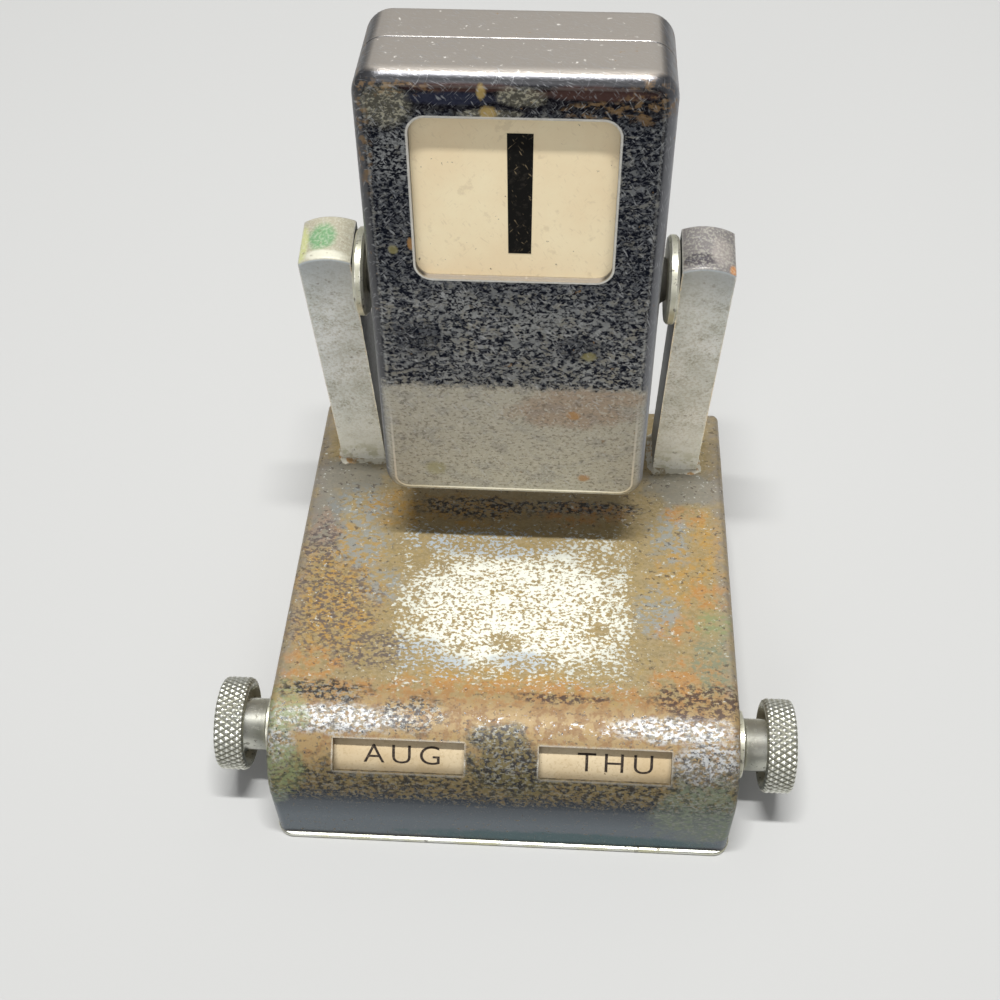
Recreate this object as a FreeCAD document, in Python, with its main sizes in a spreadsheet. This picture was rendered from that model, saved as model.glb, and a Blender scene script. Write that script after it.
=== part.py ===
import FreeCAD, Part
import Sketcher
import math
import os

document = FreeCAD.newDocument("desk_calendar")
os.makedirs("parts", exist_ok=True)

# Driving sizes in millimetres and degrees. The origin is the middle of the
# underside, +Z is up and the nose with its two windows looks along -Y.
SIZES = {
    "rim_proud": 0.4,
    "rim_depth": 65.9,
    "rim_thick": 0.75,
    "rim_corner": 2.2,
    "rim_edge": 0.25,
    "base_wall": 0.9,
    "rim_behind": 0.3,
    "base_back_height": 7.8,
    "base_edge": 1.0,
    "rim_before": 0.45,
    "front_setback": 3.32,
    "front_sharp_height": 20.7,
    "nose_radius": 10.0,
    "window_inset": 8.6,
    "window_width": 16.7,
    "window_height": 4.3,
    "window_angle": 54.0,
    "axle_back": 0.34,
    "axle_lift": 1.0,
    "shaft_radius": 1.6,
    "running_clear": 0.05,
    "drum_gap": 0.4,
    "drum_side_gap": 1.4,
    "drum_end_gap": 0.2,
    "shaft_end_gap": 0.4,
    "pin_place": 8.0,
    "pin_radius": 0.5,
    "pin_sunk": 0.5,
    "washer_thick": 0.5,
    "washer_radius": 3.4,
    "washer_clear": 0.2,
    "bush_radius": 2.6,
    "bush_length": 2.1,
    "flange_radius": 4.4,
    "flange_thick": 1.1,
    "end_clear": 0.2,
    "knob_radius": 6.15,
    "knob_stand_off": 3.8,
    "knob_width": 3.85,
    "knob_chamfer": 0.35,
    "neck_radius": 3.4,
    "undercut_inner": 3.8,
    "undercut_outer": 5.4,
    "undercut_depth": 0.9,
    "bearing_half": 2.0,
    "bearing_margin": 2.2,
    "lug_width": 4.0,
    "lug_depth": 5.0,
    "lug_height": 5.0,
    "lug_behind_foot": 23.5,
    "lug_before_back": 16.65,
    "screw_radius": 1.0,
    "screw_head_radius": 1.8,
    "screw_head_thick": 0.55,
    "screw_sunk": 0.15,
    "screw_length": 4.0,
    "slot_width": 0.4,
    "slot_depth": 0.35,
    "arm_inset": 3.9,
    "arm_width": 6.4,
    "arm_before_back": 11.85,
    "arm_depth": 6.8,
    "arm_above_pivot": 4.78,
    "crown_radius": 6.1,
    "crown_inner_drop": 0.65,
    "crown_outer_drop": 1.15,
    "arm_edge": 0.35,
    "arm_sunk": 2.6,
    "solder_gap": 0.02,
    "pivot_behind_front": 2.25,
    "pivot_lift": 20.77,
    "lean": 14.8,
    "case_width": 34.2,
    "case_height": 60.9,
    "case_depth": 15.8,
    "case_wall": 0.9,
    "case_corner": 3.2,
    "case_edge": 1.8,
    "seam_edge": 0.22,
    "face_window_inset": 5.85,
    "face_window_low": 4.95,
    "face_window_below_top": 5.05,
    "face_window_corner": 1.9,
    "guide_thick": 1.5,
    "guide_clear": 0.1,
    "tile_side_clear": 0.2,
    "tile_spare": 0.65,
    "tile_corner": 2.4,
    "tile_clear": 0.1,
    "slot_clear": 0.08,
    "nut_radius": 3.2,
    "hole_clear": 0.1,
    "spring_radius": 3.2,
    "spring_thick": 1.02,
    "disc_radius": 5.4,
    "disc_thick": 1.28,
    "disc_gap": 0.3,
    "disc_edge": 0.3,
    "pivot_head_radius": 1.9,
    "pivot_head_thick": 0.9,
    "overrun": 5.0,
}
SLOTS_IN_A_COLUMN = 16
SIDES = {"left": -1, "right": 1}


def lay_out_width(size):
    """Add the places across the object, from the case outwards."""
    size["arm_inner"] = size["case_width"] / 2 + size["spring_thick"] + size["disc_thick"] + size["disc_gap"]
    size["base_width"] = 2 * (size["arm_inner"] + size["arm_width"] + size["arm_inset"])
    half = size["base_width"] / 2
    size["rim_width"] = size["base_width"] + 2 * size["rim_proud"]
    size["window_middle"] = half - size["window_inset"] - size["window_width"] / 2
    size["bush_inner_end"] = half - size["bush_length"]
    size["drum_start"] = size["bearing_half"] + size["drum_side_gap"]
    size["drum_end"] = size["bush_inner_end"] - size["washer_thick"] - size["drum_end_gap"]
    size["knob_start"] = half + size["knob_stand_off"]
    size["knob_end"] = size["knob_start"] + size["knob_width"]
    beside_tile = size["case_wall"] + size["guide_thick"] + size["tile_side_clear"]
    size["tile_width"] = size["case_width"] - 2 * beside_tile
    size["face_window_width"] = size["case_width"] - 2 * size["face_window_inset"]


def lay_out_depth(size):
    """Add the places from front to back on the base."""
    size["base_back"] = size["rim_depth"] / 2 - size["rim_behind"]
    size["foot_front"] = size["rim_before"] - size["rim_depth"] / 2
    size["front_sharp"] = size["foot_front"] + size["front_setback"]
    size["lug_front"] = size["foot_front"] + size["lug_behind_foot"]
    size["lug_rear"] = size["base_back"] - size["lug_before_back"]
    size["arm_front"] = size["base_back"] - size["arm_before_back"]
    size["pivot_place"] = size["arm_front"] + size["pivot_behind_front"]


def lay_out_nose(size):
    """Add the centre of the rounded nose, the slope's angle and the axle of the drums."""
    rise = size["front_sharp_height"] - size["base_back_height"]
    slope = math.atan2(rise, size["base_back"] - size["front_sharp"])
    front = math.atan2(size["front_sharp_height"] - size["rim_thick"], size["front_setback"])
    half_corner = (math.pi - front - slope) / 2
    reach = size["nose_radius"] / math.sin(half_corner)
    heading = -slope - half_corner
    size["nose_place"] = size["front_sharp"] + reach * math.cos(heading)
    size["nose_height"] = size["front_sharp_height"] + reach * math.sin(heading)
    size["axle_place"] = size["nose_place"] + size["axle_back"]
    size["axle_height"] = size["nose_height"] + size["axle_lift"]
    size["drum_radius"] = size["nose_radius"] - size["base_wall"] - size["axle_lift"] - size["drum_gap"]
    below_back = size["base_back"] - size["arm_front"]
    size["arm_foot"] = size["base_back_height"] + below_back * math.tan(slope) - size["arm_sunk"]


def lay_out_case(size):
    """Add the heights of the case and the places of its tiles."""
    floor = size["case_height"] / 2 - size["case_wall"]
    size["pivot_height"] = size["case_height"] / 2 + size["pivot_lift"]
    size["arm_top"] = size["pivot_height"] + size["arm_above_pivot"]
    size["face_window_high"] = size["case_height"] / 2 - size["face_window_below_top"]
    size["tile_height"] = floor - size["tile_spare"]
    size["tile_low"] = size["tile_clear"] - floor
    size["slot_pitch"] = (size["case_depth"] - 2 * size["case_wall"]) / SLOTS_IN_A_COLUMN


for lay_out in (lay_out_width, lay_out_depth, lay_out_nose, lay_out_case):
    lay_out(SIZES)


def make_sheet():
    """Put every size in a sheet cell whose alias is its name."""
    sheet = document.addObject("Spreadsheet::Sheet", "Sizes")
    for row, (name, value) in enumerate(SIZES.items(), start=1):
        sheet.set(f"A{row}", name)
        sheet.set(f"B{row}", str(value))
        sheet.setAlias(f"B{row}", name)
    document.recompute()


make_sheet()


def terms(text):
    """Split a sum such as 'case_depth/2 - case_wall' into signed terms."""
    sign = 1
    for word in text.split():
        if word in ("+", "-"):
            sign = -1 if word == "-" else 1
            continue
        name, _, share = word.partition("/")
        yield sign, name, float(share or 1)
        sign = 1


def amount(text):
    """The value of such a sum."""
    return sum(sign * SIZES[name] / share for sign, name, share in terms(text) if name != "0")


def linked(text):
    """The same sum as an expression on the sheet."""
    parts = ["0"]
    for sign, name, share in terms(text):
        if name != "0":
            parts.append(f"{'+' if sign > 0 else '-'} Sizes.{name} / {share}")
    return " ".join(parts)


def gap(low, high):
    """The expression for the distance from one sum to another."""
    return f"({linked(high)}) - ({linked(low)})"


def put(piece, x="0", y="0", z="0"):
    """Bind the place of a piece to sums of sizes."""
    for axis, text in zip("xyz", (x, y, z)):
        piece.setExpression(f".Placement.Base.{axis}", linked(text))
    return piece


def turn(axis):
    """The rotation that points a piece made along Z along another axis."""
    return {
        "X": FreeCAD.Rotation(FreeCAD.Vector(0, 1, 0), 90),
        "Y": FreeCAD.Rotation(FreeCAD.Vector(1, 0, 0), -90),
        "Z": FreeCAD.Rotation(),
    }[axis]


def block(name, x, y, z):
    """A box between two sums along each axis."""
    box = document.addObject("Part::Box", name)
    for side, (low, high) in zip(("Length", "Width", "Height"), (x, y, z)):
        box.setExpression(side, gap(low, high))
    return put(box, x[0], y[0], z[0])


def rod(name, radius, span, axis="X", x="0", y="0", z="0"):
    """A cylinder along one axis, from the first sum of its span to the second."""
    piece = document.addObject("Part::Cylinder", name)
    piece.setExpression("Radius", linked(radius))
    piece.setExpression("Height", gap(*span))
    return stand(piece, span[0], axis, x, y, z)


def cone(name, radii, span, axis="X", x="0", y="0", z="0"):
    """A cone along one axis, with its two radii in the order of its span."""
    piece = document.addObject("Part::Cone", name)
    piece.setExpression("Radius1", linked(radii[0]))
    piece.setExpression("Radius2", linked(radii[1]))
    piece.setExpression("Height", gap(*span))
    return stand(piece, span[0], axis, x, y, z)


def stand(piece, start, axis, x, y, z):
    """Turn a round piece along its axis and put its first end in place."""
    place = {"X": x, "Y": y, "Z": z}
    place[axis] = start
    piece.Placement.Rotation = turn(axis)
    return put(piece, place["X"], place["Y"], place["Z"])


def join(name, pieces):
    """One shape from pieces that meet, or a group of separate solids."""
    whole = document.addObject("Part::MultiFuse", name)
    whole.Shapes = pieces
    return whole


def carve(name, base, tools):
    """Cut the tools out of the base."""
    tool = tools[0] if len(tools) == 1 else join(f"{name}_cutters", tools)
    result = document.addObject("Part::Cut", name)
    result.Base = base
    result.Tool = tool
    return result


def sketch_on(body, plane, offset, points, bow=None):
    """A closed outline of named points on a plane of the body; a bow is a side's number and radius."""
    sketch = body.newObject("Sketcher::SketchObject", f"{body.Name}_outline")
    origin_plane = next(item for item in body.Origin.OriginFeatures if item.Role == plane)
    sketch.AttachmentSupport = [(origin_plane, "")]
    sketch.MapMode = "FlatFace"
    sketch.setExpression(".AttachmentOffset.Base.z", linked(offset))
    corners = [FreeCAD.Vector(amount(across), amount(up), 0) for across, up in points]
    for index, corner in enumerate(corners):
        after = corners[(index + 1) % len(corners)]
        side = Part.LineSegment(corner, after)
        if bow and index == bow[0]:
            side = bowed_side(corner, after, bow[1])
        sketch.addGeometry(side, False)
    for index in range(len(corners)):
        sketch.addConstraint(Sketcher.Constraint("Coincident", index, 2, (index + 1) % len(corners), 1))
    for index, texts in enumerate(points):
        for kind, text in zip(("DistanceX", "DistanceY"), texts):
            number = sketch.addConstraint(Sketcher.Constraint(kind, -1, 1, index, 1, amount(text)))
            if text != "0":
                sketch.setExpression(f"Constraints[{number}]", linked(text))
    if bow:
        number = sketch.addConstraint(Sketcher.Constraint("Radius", bow[0], amount(bow[1])))
        sketch.setExpression(f"Constraints[{number}]", linked(bow[1]))
    return sketch


def bowed_side(start, end, radius):
    """The arc from one corner to the next that bows outwards."""
    half = (end - start) / 2
    rise = amount(radius) - math.sqrt(amount(radius) ** 2 - half.Length ** 2)
    outward_way = FreeCAD.Vector(half.y, -half.x, 0).normalize()
    return Part.Arc(start, start + half + outward_way * rise, end)


def rectangle(left, right, low, high):
    """The four corners of a rectangle."""
    return [(left, low), (right, low), (right, high), (left, high)]


def padded(name, plane, offset, points, length, bow=None):
    """A body with one outline padded along its plane's normal."""
    body = document.addObject("PartDesign::Body", name)
    sketch = sketch_on(body, plane, offset, points, bow)
    pad = body.newObject("PartDesign::Pad", f"{name}_pad")
    pad.Profile = sketch
    pad.setExpression("Length", length)
    document.recompute()
    return body


def plate(name, outline, y_low, y_high, bow=None):
    """A body with an outline seen from the front, between two depths."""
    return padded(name, "XZ_Plane", negative(y_high), outline, gap(y_low, y_high), bow)


def negative(text):
    """The same sum with every sign turned."""
    words = []
    for sign, name, share in terms(text):
        words.append(f"{'-' if sign > 0 else '+'} {name}/{share}")
    return " ".join(words)


def same(one, other):
    """Whether two lengths agree within the kernel's noise."""
    return abs(one - other) < 1e-4


def edges_where(shape, test):
    """The names of the edges whose box passes a test."""
    return [f"Edge{number}" for number, edge in enumerate(shape.Edges, start=1) if test(edge.BoundBox)]


def rounded(body, name, size, test):
    """Round the edges of a body that pass a test."""
    fillet = body.newObject("PartDesign::Fillet", name)
    before = body.Tip if body.Tip != fillet else fillet.BaseFeature
    fillet.Base = (before, edges_where(before.Shape, test))
    fillet.setExpression("Radius", linked(size))
    document.recompute()
    return body


def hollowed(body, name, wall, face_test):
    """Make a body a shell that is open at the face that passes a test."""
    hollow = body.newObject("PartDesign::Thickness", name)
    before = hollow.BaseFeature
    faces = before.Shape.Faces
    hollow.Base = (before, [f"Face{n}" for n, face in enumerate(faces, start=1) if face_test(face)])
    hollow.Reversed = True
    hollow.Join = 1
    hollow.setExpression("Value", linked(wall))
    document.recompute()
    return body


def runs_along(box, axis):
    """Whether an edge's box is long in one axis only."""
    sizes = {"X": box.XLength, "Y": box.YLength, "Z": box.ZLength}
    return all(same(length, 0) != (name == axis) for name, length in sizes.items())


NODES = []


def node(piece, name):
    """Name a finished piece and keep it for the export."""
    piece.Label = name
    NODES.append((name, piece))
    return piece


def tilted(piece):
    """Put a piece made about the pivot where the leaning case holds it."""
    spin = FreeCAD.Rotation(FreeCAD.Vector(1, 0, 0), -SIZES["lean"])
    piece.Placement = FreeCAD.Placement(FreeCAD.Vector(0, 0, 0), spin)
    return put(piece, "0", "pivot_place", "pivot_height")


# Base

def base_outline():
    """The side view of the base before its nose is rounded."""
    return [
        ("foot_front", "rim_thick"),
        ("base_back", "rim_thick"),
        ("base_back", "base_back_height"),
        ("front_sharp", "front_sharp_height"),
    ]


def outer_base_edge(box):
    """Whether an edge lies on the outer corners of the base, its foot left out."""
    half = amount("base_width/2")
    side = same(box.XLength, 0) and same(abs(box.XMin), half)
    foot = same(box.ZMax, amount("rim_thick"))
    back = runs_along(box, "X") and same(box.YMin, amount("base_back"))
    return (side or back) and not foot


def nose_windows():
    """The two cutters for the windows, turned to face out of the nose."""
    cutters = []
    for side, sign in SIDES.items():
        middle = "window_middle" if sign > 0 else "- window_middle"
        across = (f"{middle} - window_width/2", f"{middle} + window_width/2")
        along = ("- window_height/2", "window_height/2")
        deep = ("nose_radius - base_wall - base_wall", "nose_radius + overrun")
        cutters.append(block(f"{side}_window", across, along, deep))
    pair = join("nose_windows", cutters)
    pair.Placement.Rotation = FreeCAD.Rotation(FreeCAD.Vector(1, 0, 0), 90 - SIZES["window_angle"])
    return put(pair, "0", "nose_place", "nose_height")


def arm_span(sign, grown="0"):
    """Where an arm lies across the object, grown by a clearance."""
    if sign > 0:
        return (f"arm_inner - {grown}", f"arm_inner + arm_width + {grown}")
    return (f"- arm_inner - arm_width - {grown}", f"- arm_inner + {grown}")


def make_base_shell():
    body = padded("housing", "YZ_Plane", "- base_width/2", base_outline(), linked("base_width"))
    nose = amount("front_sharp")
    rounded(body, "nose", "nose_radius", lambda box: runs_along(box, "X") and same(box.YMin, nose))
    foot = amount("rim_thick")
    hollowed(body, "housing_walls", "base_wall", lambda face: same(face.BoundBox.ZMax, foot))
    rounded(body, "housing_edges", "base_edge", outer_base_edge)
    cutters = [nose_windows()]
    for side, sign in SIDES.items():
        low, high = arm_span(sign, "solder_gap")
        deep = ("arm_front - solder_gap", "arm_front + arm_depth + solder_gap")
        tall = ("arm_foot", "base_back_height + overrun")
        cutters.append(block(f"{side}_arm_hole", (low, high), deep, tall))
    reach = ("- base_width/2 - overrun", "base_width/2 + overrun")
    cutters.append(rod("bush_holes", "bush_radius", reach, "X", y="axle_place", z="axle_height"))
    node(carve("base_shell", body, cutters), "base_shell")


def screw_places():
    """The four screws of the floor."""
    for sign in SIDES.values():
        middle = "base_width/2 - base_wall - lug_width/2"
        x = middle if sign > 0 else negative(middle)
        for y in ("lug_front", "lug_rear"):
            yield x, y


def make_base_plate():
    outline = rectangle("- rim_width/2", "rim_width/2", "- rim_depth/2", "rim_depth/2")
    body = padded("floor", "XY_Plane", "0", outline, linked("rim_thick"))
    rounded(body, "floor_corners", "rim_corner", lambda box: runs_along(box, "Z"))
    top = amount("rim_thick")
    rounded(body, "floor_edge", "rim_edge", lambda box: same(box.ZMin, top))
    cutters = []
    for number, (x, y) in enumerate(screw_places()):
        cutters.append(rod(f"floor_hole_{number}", "screw_radius", ("- overrun", "overrun"), "Z", x, y))
        sink = ("screw_sunk", "screw_sunk + screw_head_thick")
        cutters.append(cone(f"floor_sink_{number}", ("screw_head_radius", "screw_radius"), sink, "Z", x, y))
        mouth = ("- overrun", "screw_sunk")
        cutters.append(rod(f"floor_mouth_{number}", "screw_head_radius", mouth, "Z", x, y))
    node(carve("base_plate", body, cutters), "base_plate")


def make_base_screws():
    screws = []
    for number, (x, y) in enumerate(screw_places()):
        head = cone(
            f"screw_head_{number}", ("screw_head_radius", "screw_radius"),
            ("screw_sunk", "screw_sunk + screw_head_thick"), "Z", x, y,
        )
        length = ("screw_sunk", "screw_sunk + screw_length")
        shank = rod(f"screw_shank_{number}", "screw_radius", length, "Z", x, y)
        across = (f"{x} - screw_head_radius", f"{x} + screw_head_radius")
        along = (f"{y} - slot_width/2", f"{y} + slot_width/2")
        slot = block(f"screw_slot_{number}", across, along, ("0", "screw_sunk + slot_depth"))
        screws.append(carve(f"screw_{number}", join(f"screw_blank_{number}", [head, shank]), [slot]))
    node(join("base_screws", screws), "base_screws")


def make_base_lugs():
    lugs = []
    for number, (x, y) in enumerate(screw_places()):
        across = (f"{x} - lug_width/2", f"{x} + lug_width/2")
        along = (f"{y} - lug_depth/2", f"{y} + lug_depth/2")
        solid = block(f"lug_block_{number}", across, along, ("rim_thick", "rim_thick + lug_height"))
        hole = rod(f"lug_hole_{number}", "screw_radius", ("0", "screw_sunk + screw_length"), "Z", x, y)
        lugs.append(carve(f"lug_{number}", solid, [hole]))
    node(join("base_lugs", lugs), "base_lugs")


def make_arm(side, sign):
    """A bar whose top is bowed across, with a recess for the head of the pivot screw."""
    low, high = arm_span(sign)
    drops = ("crown_outer_drop", "crown_inner_drop") if sign > 0 else ("crown_inner_drop", "crown_outer_drop")
    outline = [
        (low, "arm_foot"), (high, "arm_foot"),
        (high, f"arm_top - {drops[0]}"), (low, f"arm_top - {drops[1]}"),
    ]
    bar = plate(f"{side}_bar", outline, "arm_front", "arm_front + arm_depth", (2, "crown_radius"))
    crown_foot = amount("arm_top - crown_outer_drop")
    across = amount("arm_width/2")
    rounded(
        bar, f"{side}_bar_edges", "arm_edge",
        lambda box: box.ZMax > crown_foot and same(box.YMin, box.YMax) and box.XLength > across,
    )
    at_pivot = {"y": "pivot_place", "z": "pivot_height"}
    through = (f"{low} - overrun", f"{high} + overrun")
    bore = rod(f"{side}_arm_bore", "shaft_radius + running_clear", through, "X", **at_pivot)
    outer_face = "arm_inner + arm_width"
    sunk = outward(sign, f"{outer_face} - pivot_head_thick - disc_gap", f"{outer_face} + overrun")
    recess = rod(f"{side}_arm_recess", "pivot_head_radius + running_clear", sunk, "X", **at_pivot)
    node(carve(f"{side}_arm", bar, [bore, recess]), f"{side}_arm")


# Drums and knobs

def outward(sign, start, end):
    """A span across the object on one side, both places counted from the middle."""
    return (start, end) if sign > 0 else (negative(end), negative(start))


def coin(name, sizes, sign, reach, y="0", z="0"):
    """A short cylinder across the object with its radius and the chamfer of both rims."""
    radius, chamfer = sizes
    start, end = reach
    inner, outer = f"{start} + {chamfer}", f"{end} - {chamfer}"
    small = f"{radius} - {chamfer}"
    parts = [rod(f"{name}_middle", radius, outward(sign, inner, outer), "X", y=y, z=z)]
    for number, (low, high, growing) in enumerate(((start, inner, True), (outer, end, False))):
        radii = (small, radius) if growing == (sign > 0) else (radius, small)
        parts.append(cone(f"{name}_rim_{number}", radii, outward(sign, low, high), "X", y=y, z=z))
    return join(name, parts)


def on_axle(name, radius, sign, start, end):
    """A rod on the axle of the drums."""
    return rod(name, radius, outward(sign, start, end), "X", y="axle_place", z="axle_height")


def make_bushing(side, sign):
    outer = "base_width/2 + flange_thick"
    sleeve = on_axle(f"{side}_bush_sleeve", "bush_radius", sign, "bush_inner_end", outer)
    flange = on_axle(f"{side}_bush_flange", "flange_radius", sign, "base_width/2", outer)
    bore = on_axle(
        f"{side}_bush_bore", "shaft_radius + running_clear", sign,
        "bush_inner_end - overrun", "base_width/2 + overrun",
    )
    blank = join(f"{side}_bush_blank", [sleeve, flange])
    node(carve(f"{side}_bushing", blank, [bore]), f"{side}_bushing")


def make_friction_washer(side, sign):
    start = "bush_inner_end - washer_thick"
    ring = on_axle(f"{side}_washer_ring", "washer_radius", sign, start, "bush_inner_end")
    bore = on_axle(
        f"{side}_washer_bore", "shaft_radius + washer_clear", sign,
        f"{start} - overrun", "bush_inner_end + overrun",
    )
    node(carve(f"{side}_friction_washer", ring, [bore]), f"{side}_friction_washer")


def pin_rod(name, sign):
    """The cross pin of a drum, also used to cut its hole."""
    x = "pin_place" if sign > 0 else "- pin_place"
    reach = "drum_radius - pin_sunk"
    span = ("axle_height - drum_radius + pin_sunk", f"axle_height + {reach}")
    return rod(name, "pin_radius", span, "Z", x, "axle_place")


def make_drum(name, sign):
    solid = on_axle(f"{name}_solid", "drum_radius", sign, "drum_start", "drum_end")
    bore = on_axle(f"{name}_bore", "shaft_radius", sign, "drum_start - overrun", "drum_end + overrun")
    node(carve(name, solid, [bore, pin_rod(f"{name}_pin_hole", sign)]), name)
    node(pin_rod(f"{name}_pin", sign), f"{name}_pin")


def make_knob(name, sign):
    shaft = on_axle(f"{name}_shaft", "shaft_radius", sign, "shaft_end_gap", "knob_end - knob_chamfer")
    neck = on_axle(
        f"{name}_neck", "neck_radius", sign,
        "base_width/2 + flange_thick + end_clear", "knob_end - knob_chamfer",
    )
    band = coin(
        f"{name}_band", ("knob_radius", "knob_chamfer"), sign, ("knob_start", "knob_end"),
        y="axle_place", z="axle_height",
    )
    blank = join(f"{name}_blank", [shaft, neck, band])
    ring = on_axle(
        f"{name}_groove_outer", "undercut_outer", sign,
        "knob_start - end_clear", "knob_start + undercut_depth",
    )
    core = on_axle(
        f"{name}_groove_inner", "undercut_inner", sign, "knob_start - overrun", "knob_start + overrun",
    )
    groove = carve(f"{name}_groove", ring, [core])
    drum_name = name.replace("knob", "drum")
    node(carve(name, blank, [groove, pin_rod(f"{drum_name}_shaft_hole", sign)]), name)


def make_centre_bearing():
    margin = "shaft_radius + bearing_margin"
    solid = block(
        "bearing_block", ("- bearing_half", "bearing_half"),
        ("axle_place - shaft_radius - bearing_margin", f"axle_place + {margin}"),
        ("rim_thick", f"axle_height + {margin}"),
    )
    bore = rod(
        "bearing_bore", "shaft_radius + running_clear",
        ("- bearing_half - overrun", "bearing_half + overrun"), "X", y="axle_place", z="axle_height",
    )
    node(carve("centre_bearing", solid, [bore]), "centre_bearing")


# Date case, made upright about its pivot

def outer_seam_edge(box):
    """Whether an edge runs round the outside of a shell at the seam."""
    side = same(max(abs(box.XMin), abs(box.XMax)), amount("case_width/2"))
    end = same(max(abs(box.ZMin), abs(box.ZMax)), amount("case_height/2"))
    return same(box.YMin, 0) and same(box.YMax, 0) and (side or end)


def make_shell_half(name, front):
    """One half of the case, a tray with a window and half of each pivot hole."""
    low, high = ("- case_depth/2", "0") if front else ("0", "case_depth/2")
    outline = rectangle("- case_width/2", "case_width/2", "- case_height/2", "case_height/2")
    body = plate(f"{name}_tray", outline, low, high)
    rounded(body, f"{name}_corners", "case_corner", lambda box: runs_along(box, "Y"))
    seam = lambda face: same(face.BoundBox.YMin, 0) and same(face.BoundBox.YMax, 0)
    hollowed(body, f"{name}_walls", "case_wall", seam)
    face_place = amount(low if front else high)
    rounded(
        body, f"{name}_edges", "case_edge",
        lambda box: same(box.YMin, face_place) and same(box.YMax, face_place),
    )
    rounded(body, f"{name}_seam", "seam_edge", outer_seam_edge)
    window = face_window(name, front)
    through = ("- case_width/2 - overrun", "case_width/2 + overrun")
    pivot = rod(f"{name}_pivot_hole", "shaft_radius + hole_clear", through, "X")
    node(tilted(carve(name, body, [window, pivot])), name)


def face_window(name, front):
    """The rounded cutter of a window: high in front, low at the back."""
    up = ("face_window_low", "face_window_high")
    if not front:
        up = (negative(up[1]), negative(up[0]))
    across = ("- face_window_width/2", "face_window_width/2")
    if front:
        deep = ("- case_depth/2 - overrun", "case_wall - case_depth/2 + tile_clear")
    else:
        deep = ("case_depth/2 - case_wall - tile_clear", "case_depth/2 + overrun")
    cutter = plate(f"{name}_window", rectangle(*across, *up), *deep)
    return rounded(cutter, f"{name}_window_corners", "face_window_corner", lambda box: runs_along(box, "Y"))


def make_tile_guide(name, sign):
    start, end = outward(sign, "case_width/2 - case_wall - guide_thick", "case_width/2 - case_wall")
    inner = "case_depth/2 - case_wall - guide_clear"
    tall = "case_height/2 - case_wall - case_corner"
    liner = block(f"{name}_liner", (start, end), (negative(inner), inner), (negative(tall), tall))
    hole = rod(f"{name}_hole", "nut_radius + hole_clear", (f"{start} - overrun", f"{end} + overrun"), "X")
    node(tilted(carve(name, liner, [hole])), name)


def make_tile(number, column, slot):
    """One date tile in a slot counted from the front, column 1 above column 0."""
    name = f"date_tile_{number:02d}"
    low = "tile_low + tile_height + tile_clear" if column else "tile_low"
    outline = rectangle("- tile_width/2", "tile_width/2", low, f"{low} + tile_height")
    front = "case_wall - case_depth/2 + slot_clear/2" + " + slot_pitch" * slot
    body = plate(name, outline, front, f"{front} + slot_pitch - slot_clear")
    rounded(body, f"{name}_corners", "tile_corner", lambda box: runs_along(box, "Y"))
    node(tilted(body), name)


def make_tiles():
    """The upper column lacks its rear tile, so that the lower rear one can move up."""
    places = [(1, slot) for slot in range(SLOTS_IN_A_COLUMN - 1)]
    places += [(0, slot) for slot in range(SLOTS_IN_A_COLUMN)]
    for number, (column, slot) in enumerate(places, start=1):
        make_tile(number, column, slot)


def make_pivot(side, sign):
    """The nut, spring washer, disc and screw on one side of the case."""
    wall = "case_width/2 - case_wall"
    nut = rod(f"{side}_nut_solid", "nut_radius", outward(sign, f"{wall} - guide_thick", wall), "X")
    bore = rod(f"{side}_nut_bore", "shaft_radius", outward(sign, "0", "arm_inner"), "X")
    node(tilted(carve(f"{side}_hub_nut", nut, [bore])), f"{side}_hub_nut")
    disc_end = "arm_inner - disc_gap"
    disc_start = f"{disc_end} - disc_thick"
    radii = ("spring_radius", "shaft_radius + case_wall")
    dish = cone(
        f"{side}_dish", radii if sign > 0 else radii[::-1], outward(sign, "case_width/2", disc_start), "X",
    )
    dish_bore = rod(f"{side}_dish_bore", "shaft_radius", outward(sign, "0", "arm_inner"), "X")
    node(tilted(carve(f"{side}_spring_washer", dish, [dish_bore])), f"{side}_spring_washer")
    disc = coin(f"{side}_disc_solid", ("disc_radius", "disc_edge"), sign, (disc_start, disc_end))
    disc_bore = rod(f"{side}_disc_bore", "shaft_radius", outward(sign, "0", "arm_inner + overrun"), "X")
    node(tilted(carve(f"{side}_disc", disc, [disc_bore])), f"{side}_disc")
    head_start = "arm_inner + arm_width - pivot_head_thick"
    head_end = "arm_inner + arm_width"
    shank = rod(f"{side}_pivot_shank", "shaft_radius", outward(sign, f"{wall} - guide_thick", head_end), "X")
    head = rod(f"{side}_pivot_head", "pivot_head_radius", outward(sign, head_start, head_end), "X")
    along = ("- slot_width/2", "slot_width/2")
    tall = ("- pivot_head_radius", "pivot_head_radius")
    across = outward(sign, f"{head_end} - slot_depth", f"{head_end} + overrun")
    slot = block(f"{side}_pivot_slot", across, along, tall)
    blank = join(f"{side}_pivot_blank", [shank, head])
    node(tilted(carve(f"{side}_pivot_screw", blank, [slot])), f"{side}_pivot_screw")


def export_nodes():
    """Check every object and write one file for each finished piece."""
    document.recompute()
    for item in document.Objects:
        if "Invalid" in item.State or "Error" in item.State:
            raise RuntimeError(f"{item.Label} has state {item.State}")
    for name, piece in NODES:
        shape = piece.Shape
        if shape.isNull() or not shape.isValid() or not shape.Solids:
            raise RuntimeError(f"{name} has no valid solid")
        shape.exportStep(f"parts/{name}.step")
        print(f"{name} solids {len(shape.Solids)} volume {shape.Volume:.2f}")
    print(f"{len(NODES)} pieces written")


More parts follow.
